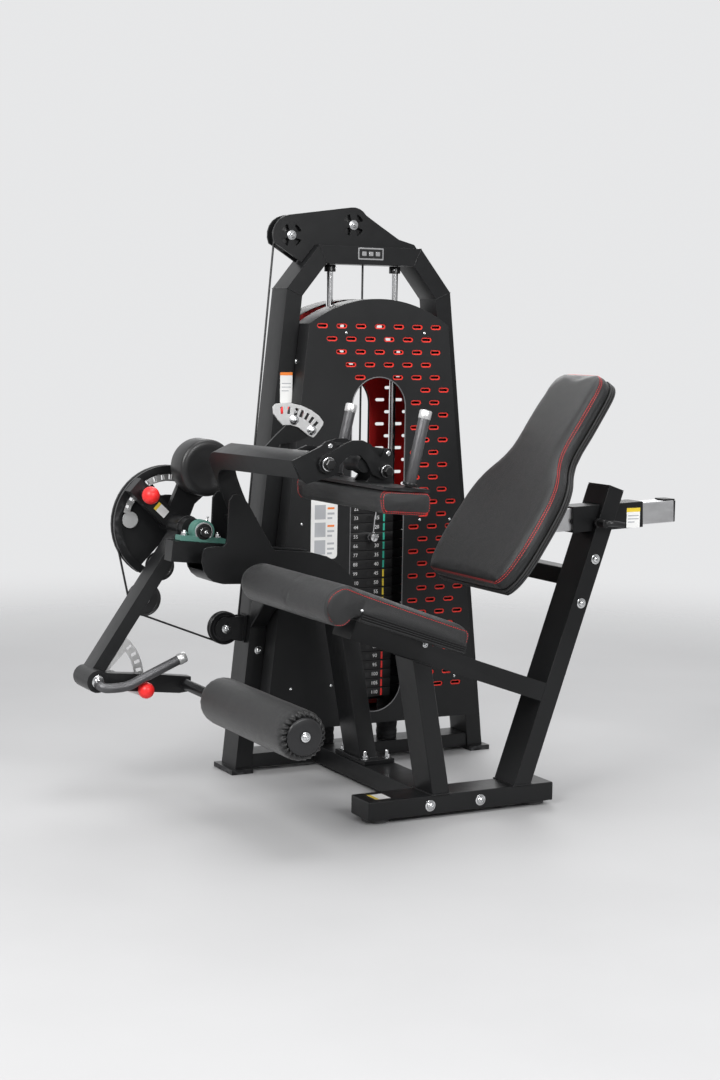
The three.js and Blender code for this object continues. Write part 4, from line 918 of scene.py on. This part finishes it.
prof, PLE = [], {}
ring = [(15.6, 4), (41, 4), (43.5, 2.4), (46, 0.6), (48.5, -0.6), (51, -0.9), (53.5, -0.2), (56, 1.6), (58.2, 4.2), (60, 8), (61.2, 13), (61.7, 20), (61.7, 30)]
amps = [0, 1.6, 3.6, 5.2, 6.0, 6.0, 5.6, 4.8, 3.8, 2.6, 1.7, 0.8, 0.0]
for (r, h), am in zip(ring, amps):
    if am:
        PLE[len(prof)] = (am, 0.0085 * (r - 40))
    prof.append((r, h))
for h in (60, 120, 180, 245, 310, 370, 430):
    prof.append((61.6 + 0.25 * math.sin(h), h))
for (r, h), am in zip(reversed(ring), reversed(amps)):
    if am:
        PLE[len(prof)] = (-am * 0.3, 0.0026 * (r - 40))
    prof.append((r, 490 - h))
prof.append((15.6, 3))
ob = lathe("roller_cushion", P(-622, -195, 297.5), P(-622, 295, 297.5), prof, 416, pleat)
add(ob, "roller", "foam", ("foam_roller",), 60)
seam = [P(-622 + 61.7 * math.cos(-118 * RAD), y, 297.5 + 61.7 * math.sin(-118 * RAD)) for y in range(-178, 279, 8)]
tube("roller_seam", seam, 0.8, "roller", "foam", poly=True)
add(lathe("roller_end_cap.fine", P(-622, -195.3, 297.5), P(-622, -212, 297.5), [(15.4, 0), (45.5, 0), (46.4, 2), (46.4, 5), (45, 7.6), (41, 9.2), (24, 10.0), (0, 10.4)], 72), "ankle_arm", "nylon", ("roller_end_cap",), 40)
bolts("roller_bolt", "ankle_arm", [(-622, -205.6, 297.5, V, 8.5, 6, "wds")])

# counterweight drum
ob = lathe("counterweight.fine", P(DRUM[0], 560, DRUM[1]), P(DRUM[0], 600, DRUM[1]), [(0, 1), (52, 1), (54, 0), (66, 0), (72.5, 2), (76.5, 5.5), (78, 10), (78, 75), (76.5, 80), (72, 84), (66, 84.7), (0, 84.7)], 96)
add(ob, "lever", "cast", ("counterweight",), 40)

# bearing block details
ts = Vector((-39.56, 0, 3.99)).normalized()
def pb(u, w, y=475):
    s, c = math.sin(-5.77 * RAD), math.cos(-5.77 * RAD)
    return (PIVOT[0] + u * c - w * s, y, PIVOT[1] + u * s + w * c)
updir = (math.sin(5.77 * RAD), 0, math.cos(5.77 * RAD))
bolts("bearing_bolts", "frame", [(*pb(-48, -14.6), updir, 8.5, 9, "w"), (*pb(48, -14.6), updir, 8.5, 9, "w")])
x, y, z = pb(12, 28)
add(lathe("grease_nipple", P(x, y, z), P(x + updir[0] * 10 + 3, y, z + updir[2] * 10), [(0, 0), (4, 0), (4, 5), (2.2, 6), (2.2, 9), (3.2, 11), (3, 13), (0, 14)], 16), "frame", "zinc", (), 40)
add(lathe("bearing_ring", P(PIVOT[0], 457.8, PIVOT[1]), P(PIVOT[0], 440, PIVOT[1]), [(22, 0), (22, 1.6), (25, 1.8), (26, 0.4), (26, 0)], 64), "frame", "cap", (), 40)
add(lathe("bearing_insert", P(PIVOT[0], 457.9, PIVOT[1]), P(PIVOT[0], 440, PIVOT[1]), [(12.6, 0), (12.6, 3), (16, 3.4), (21.5, 2.4), (21.9, 0)], 64), "frame", "plastic", (), 40)
add(lathe("shaft_cover", P(PIVOT[0], 443.9, PIVOT[1]), P(PIVOT[0], 440, PIVOT[1]), [(0, 0), (14, 0), (14, 2.5), (13, 4), (0, 4.2)], 48), "cam", "plastic", (), 40)
bolts("shaft_end", "cam", [(PIVOT[0], 439.8, PIVOT[1], V, 5.5, 3.5, "ds")])
nx, ny, nz = pb(-50, -58)
bolts("bearing_under_nuts", "frame", [(nx + 3, 475, nz + 0.5, (-updir[0], 0, -updir[2]), 8, 7, "w"), (pb(48, -62)[0], 475, pb(48, -62)[2], (-updir[0], 0, -updir[2]), 8, 7, "w")])
bolts("collar_bolt", "lever", [(COLLAR[0], 644.2, COLLAR[1], (0, 1, 0), 12, 8, "wds")])
bolts("collar_cap", "ankle_arm", [(COLLAR[0], 527.8, COLLAR[1], V, 12, 6, "wds")])
# index arm label
u = Vector((math.cos(137 * RAD), 0, math.sin(137 * RAD)))
def arm_map(du, dw, dd):
    t = Vector((-u.z, 0, u.x))
    c = Vector((PIVOT[0], 644.6, PIVOT[1])) + u * du + t * dw - Vector((0, 1, 0)) * dd
    return P(*c)
add(flat("arm_label", rrect(62, 0, 40, 24, 2), 0, 0.6, (), 0.1, arm_map), "lever", "white", (), 40)
add(flat("arm_label_band", rrect(78, 0, 9, 24, 1), -0.2, 0.9, (), 0.1, arm_map), "lever", "yellow", (), 40)

# slide tube cap, labels
sl = math.tan(2.2 * RAD)
def slz(x):
    return 763 + sl * (x - 222)
ex = 614.3
cap = [boxm(ex, ex + 5, 50 - 24.6, 50 + 24.6, slz(ex) - 29.6, slz(ex) + 29.6)]
ob = join("slide_end_cap", cap); bevel(ob, 2.0, 3)
add(ob, "backrest", "plastic", (), 40)
# painted shade: a dark disc stands for the inside of the slide tube hole
add(lathe("slide_tube_hole", P(276, 19.9, 761), P(276, 25, 761), [(0, 0), (7.6, 0), (7.6, 0.5), (0, 0.5)], 32), "backrest", "painted_shade", (), 40)
ob = join("slide_stop_lip", [boxm(583, 617.5, 27, 73, slz(600) + 30.6, slz(600) + 34.2)]); bevel(ob, 1.0, 2)
add(ob, "backrest", "frame", (), 40)
label("sleeve_label", 448, 492, 738, 792, 14.6 + 0.2, bars=[(0.0, 1, 0.80, 1, "yellow"), (0.1, 0.9, 0.58, 0.64, "grey"), (0.1, 0.9, 0.42, 0.48, "grey"), (0.1, 0.6, 0.26, 0.32, "grey")], r=2)
lb = join("base_label", [boxm(-306, -262, 22, 72, 62.1, 62.5)])
add(lb, "frame", "white")
lb = join("base_label_band", [boxm(-306, -296, 22, 72, 62.4, 62.7)])
add(lb, "frame", "yellow")
# pull pin of the slide: lever handle
ob = tube("slide_pin_handle", [P(345, -24, 757), P(352, -36, 758), P(372, -42, 757), P(398, -44, 752)], 8.5, "backrest_pin", "plastic")
ob = lathe("slide_pin_nut", P(345, 0, 757), P(345, -8, 757), [(6.1, 0.1), (13, 0.1), (13, 5), (11, 6.5), (6.1, 6.5)], 6)
add(ob, "frame", "plastic", (), 30)
for nm, pts in (("back_post_cap", None),):
    x0, z0 = 378, 853.8
    n = 1 / math.hypot(1, 0.3523)
    q = [P(x0 - 0.5, 1, z0 + 0.3), P(x0 - 0.5, 99, z0 + 0.3), P(x0 + 50 * n + 0.5, 99, z0 - 50 * n * 0.3523 + 0.3), P(x0 + 50 * n + 0.5, 1, z0 - 50 * n * 0.3523 + 0.3)]
    dz = Vector((0.3523, 0, 1)).normalized() * 0.004
    ob = mesh_ob(nm, q + [p + dz for p in q], [(0, 1, 2, 3), (7, 6, 5, 4), (0, 4, 5, 1), (1, 5, 6, 2), (2, 6, 7, 3), (3, 7, 4, 0)])
    bevel(ob, 1.5, 2)
    add(ob, "frame", "plastic", (), 40)
# lever hub weld
wr = [(PIVOT[0] + 31 * math.cos(t * RAD), 566.5, PIVOT[1] + 31 * math.sin(t * RAD)) for t in range(0, 361, 12)]
weld("hub_weld", wr, "lever", 2.6)

# ---------------------------------------------------------------- pads
# seat
SEAT = [(-491.5, 575), (-500, 566), (-510, 558), (-522, 552.5), (-539, 552), (-549, 557), (-559, 567), (-567, 580), (-571, 600), (-568, 618), (-562, 628), (-553, 637), (-544, 643), (-530, 649), (-515, 650.5), (-500, 646.5),
        (-470, 636), (-400, 610.6), (-330, 585.4), (-260, 560.2), (-200, 538.6), (-178, 530.5), (-170, 525), (-166.5, 516), (-168, 505), (-176, 485), (-184, 479), (-198, 480.5), (-260, 502), (-340, 528), (-420, 554.5), (-480, 574.5)]


def close_pts(ring, y):
    return [P(x, y, z) for x, z in ring]


def inset_ring(ring, d):
    out, n = [], len(ring)
    for i in range(n):
        a, b, c = Vector(ring[i - 1]), Vector(ring[i]), Vector(ring[(i + 1) % n])
        t = ((b - a).normalized() + (c - b).normalized()).normalized()
        nn = Vector((-t.y, t.x))
        out.append((b + nn * d)[:])
    return out


area = sum(SEAT[i - 1][0] * SEAT[i][1] - SEAT[i][0] * SEAT[i - 1][1] for i in range(len(SEAT)))
SIN = inset_ring(SEAT, -0.6 if area < 0 else 0.6)
seat = flat("seat_cushion", SIN, -199.6, 299.6, (), 7, None, 3)
under = lambda c: (c.z * 1000) < 347.35 + 50 * 1.06 - 0.35 * ((c.x * 1000) + OX) + 22 and (c.x * 1000 + OX) > -470
inflate(seat, 5, 4, 5, under)
for y in (-200 + 9, 300 - 9):
    groove(seat, [P(x, y, z) for x, z in SEAT], 1.6, 6)
add(seat, "frame", "leather", ("seat_pad",))
tr = surface(seat)
seg = SEAT[1:26]
segi = inset_ring(SEAT, -3.6 if area < 0 else 3.6)[1:26]
for nm, y, o in (("near", -200, -1), ("far", 300, 1)):
    ring = [on(tr, P(x, y, z), 0.2) for x, z in segi]
    dashes("seat_stitch_" + nm, smooth_path(ring, 3), "frame", 0.6, 4.4, 2.2)
    ring = [on(tr, P(x, y + 1.5 * o, z), 0.3) for x, z in seg]
    tube("seat_edge_" + nm, smooth_path(ring, 3), 1.1, "frame", "leather2", poly=True)
band = flat("seat_band", [(-471, 579), (-181, 486), (-185, 468.6), (-480, 566)], -199.2, 299.2, (), 1.5, None, 2)
add(band, "frame", "leather2", (), 40)
for nm, yy in (("near", -199.6), ("far", 299.6)):
    for k in range(4):
        f = (k + 0.35) / 3.7
        a_, b_ = (-471 - 7 * f, 588 - 20.5 * f), (-181 - 3 * f, 488 - 18.5 * f)
        pts = [P(a_[0] + (b_[0] - a_[0]) * q, yy + (-1.6 if yy < 0 else 1.6), a_[1] + (b_[1] - a_[1]) * q) for q in (0, 0.5, 1)]
        tube("seat_rib_%s_%d" % (nm, k), pts, 2.3, "frame", "plastic", poly=True)
bolts("seat_rivet", "frame", [(-473, -200.5, 592, V, 4.2, 3, "d")])
board = [(-470, 573.5), (-200, 479.5), (-204, 471), (-474, 565)]
board = [(x, z + 1.5) for x, z in board]
# thigh pad
THP = [(-416, 876.2), (-280, 867.4), (-279, 813), (-415, 823)]
def rounded(q, r, n=5):
    out = []
    m = len(q)
    for i in range(m):
        a, b, c = Vector(q[i - 1]), Vector(q[i]), Vector(q[(i + 1) % m])
        d1, d2 = (a - b).normalized(), (c - b).normalized()
        p0, p1 = b + d1 * r, b + d2 * r
        for k in range(n + 1):
            t = k / n
            out.append(((1 - t) ** 2 * p0 + 2 * t * (1 - t) * b + t * t * p1)[:])
    return out
TR = rounded(THP, 17, 6)
ar = sum(TR[i - 1][0] * TR[i][1] - TR[i][0] * TR[i - 1][1] for i in range(len(TR)))
TI = inset_ring(TR, -0.4 if ar < 0 else 0.4)
thp = flat("thigh_cushion", TI, -189.6, 289.6, (), 7, None, 3)
inflate(thp, 5, 4, 4.5, lambda c: c.z > 0.8655)
for y in (-190 + 8, 290 - 8):
    groove(thp, [P(x, y, z) for x, z in TR], 1.5, 6)
add(thp, "thigh_hold_down", "leather", ("thigh_pad",))
tr = surface(thp)
for nm, ys in (("near", (-186, -177)), ("far", (286, 277))):
    for j, y in enumerate(ys):
        ring = [on(tr, P(x, y, z), 0.3) for x, z in (TR if j else inset_ring(TR, -3 if ar < 0 else 3))]
        dashes("thigh_stitch_%s_%d" % (nm, j), smooth_path(ring + [ring[0]], 2), "thigh_hold_down", 0.6, 4.2, 2.2)

# backrest
PS = 0.688
half = [(0, 160), (12, 174), (40, 190), (90, 199), (150, 200), (215, 198), (270, 190), (318, 170), (355, 142), (390, 124), (430, 118), (480, 119), (540, 117), (590, 114), (615, 107), (632, 92), (642, 70)]
hyp = math.hypot(1, PS)


def bk(u, s, t):
    return P(12 + PS * (628 - 723) + PS / hyp * s + t / hyp, 50 + u, 628 + s / hyp - PS / hyp * t)


def spline_half(shrink):
    pts = smooth_path([Vector((w - shrink, s, 0)) for s, w in half], 3)
    right = [(p.x, p.y) for p in pts]
    return right


HB = spline_half(-2.5)
HB = [(w, min(max(s, -3), 646)) for w, s in HB]
outl = [(w, s) for w, s in HB] + [(-w, s) for w, s in reversed(HB)]
bkc = flat("backrest_cushion", outl, -2, 43.9, (), 10, lambda u, w, d: bk(u, w, 21.0 + d), 4)
inflate(bkc, 6.5, 2, 3.2, lambda c: ((c.x * 1000 + OX) - (12 + PS * (628 - 723))) / hyp - PS / hyp * (c.z * 1000 - 628) > 39)
edge = spline_half(0)
def loop_at(inset, t, lift=0.3, lo=0):
    h = spline_half(inset)
    h = [(w, min(max(s, inset * 0.9 + lo), 642 - inset * 0.9 - lo)) for w, s in h]
    ring = [(w, s) for w, s in h] + [(-w, s) for w, s in reversed(h)]
    return ring
fr = loop_at(0, 0)
groove(bkc, [bk(u, s, 8.5) for u, s in fr], 2.0, 8)
for t in (17, 31):
    groove(bkc, [bk(u, s, t) for u, s in fr], 1.2, 5)
add(bkc, "backrest", "leather", ("backrest_pad",))
tr = surface(bkc)
nrm = bk(0, 0, 1) - bk(0, 0, 0)
for k, t in enumerate((5.0, 9.5)):
    ring = [on(tr, bk(u * 1.01, s, t), 0.25) for u, s in fr]
    dashes("backrest_stitch_%d" % k, ring + [ring[0]], "backrest", 0.65, 4.6, 2.2)
for k, t in enumerate((45, 51.5, 58)):
    h = spline_half(-1.2)
    ring = [bk(w, min(max(s, -1.2), 644), t) for w, s in h] + [bk(-w, min(max(s, -1.2), 644), t) for w, s in reversed(h)]
    tube("backrest_piping_%d" % k, ring, 2.6, "backrest", "leather2", cyclic=True, poly=True)

# board under the seat, in the frame
ob = flat("seat_board", [(-468, 573), (-210, 483), (-213, 475), (-471, 565)], -170, 270, (), 1)
add(ob, "frame", "plastic", (), 40)

# ---------------------------------------------------------------- floor and light
bpy.ops.mesh.primitive_plane_add(size=30, location=(0, 0, 0))
floor = bpy.context.object
floor.name = "studio_floor"
m, nt, b = new_mat("floor")
v = coords(nt)
nt.links.new(ramp(nt, noise(nt, v, 1.2, 4), [(0.3, (0.43, 0.43, 0.435)), (0.7, (0.46, 0.46, 0.465))]), b.inputs["Base Color"])
b.inputs["Roughness"].default_value = 0.6
bump(nt, b, noise(nt, v, 300, 3), 0.05, 0.001)
# the floor fades into the backdrop away from the object
ln = nt.nodes.new("ShaderNodeVectorMath"); ln.operation = "LENGTH"
nt.links.new(v, ln.inputs[0])
fade = nt.nodes.new("ShaderNodeMapRange"); fade.interpolation_type = "SMOOTHERSTEP"
fade.inputs["From Min"].default_value, fade.inputs["From Max"].default_value = 1.7, 5.2
nt.links.new(ln.outputs["Value"], fade.inputs["Value"])
tb = nt.nodes.new("ShaderNodeBsdfTransparent")
mx = nt.nodes.new("ShaderNodeMixShader")
out = [n for n in nt.nodes if n.type == "OUTPUT_MATERIAL"][0]
nt.links.new(fade.outputs["Result"], mx.inputs[0])
nt.links.new(b.outputs[0], mx.inputs[1]); nt.links.new(tb.outputs[0], mx.inputs[2])
nt.links.new(mx.outputs[0], out.inputs["Surface"])
floor.data.materials.append(m)

# pale wall light behind the object, a darker room in front of it
world = bpy.data.worlds.new("studio")
scene.world = world
world.use_nodes = True
wt = world.node_tree
bg = wt.nodes["Background"]
tc = wt.nodes.new("ShaderNodeTexCoord")
dp = wt.nodes.new("ShaderNodeVectorMath"); dp.operation = "DOT_PRODUCT"
dp.inputs[1].default_value = (0.25, 0.95, 0.18)
wt.links.new(tc.outputs["Generated"], dp.inputs[0])
mr = wt.nodes.new("ShaderNodeMapRange"); mr.interpolation_type = "SMOOTHSTEP"
for k, val in (("From Min", -0.55), ("From Max", 0.35), ("To Min", 0.33), ("To Max", 0.81)):
    mr.inputs[k].default_value = val
wt.links.new(dp.outputs["Value"], mr.inputs["Value"])
wt.links.new(mr.outputs["Result"], bg.inputs["Strength"])
bg.inputs["Color"].default_value = (0.985, 0.99, 1.0, 1)
scene.view_settings.view_transform = "Standard"


def area_light(name, loc, target, size, size_y, power, col=(1, 1, 1)):
    d = bpy.data.lights.new(name, "AREA")
    d.shape, d.size, d.size_y, d.energy, d.color = "RECTANGLE", size, size_y, power, col
    ob = bpy.data.objects.new(name, d)
    scene.collection.objects.link(ob)
    ob.location = loc
    ob.rotation_euler = (Vector(target) - Vector(loc)).to_track_quat("-Z", "Y").to_euler()
    return ob


area_light("key", (-3.2, -1.8, 2.9), (0, 0, 0.7), 1.6, 1.6, 130, (1, 0.995, 0.985))
area_light("top", (0.1, -0.2, 3.6), (0, 0, 0.8), 2.2, 1.2, 45)
area_light("front", (0.2, -3.9, 2.4), (0, 0, 0.8), 1.5, 1.0, 80, (1, 1, 1))
area_light("back", (1.6, 2.6, 2.8), (0, 0, 0.9), 2.2, 1.4, 40)

for n in list(N):
    if not N[n].hide_render:
        keep(n, "frame")
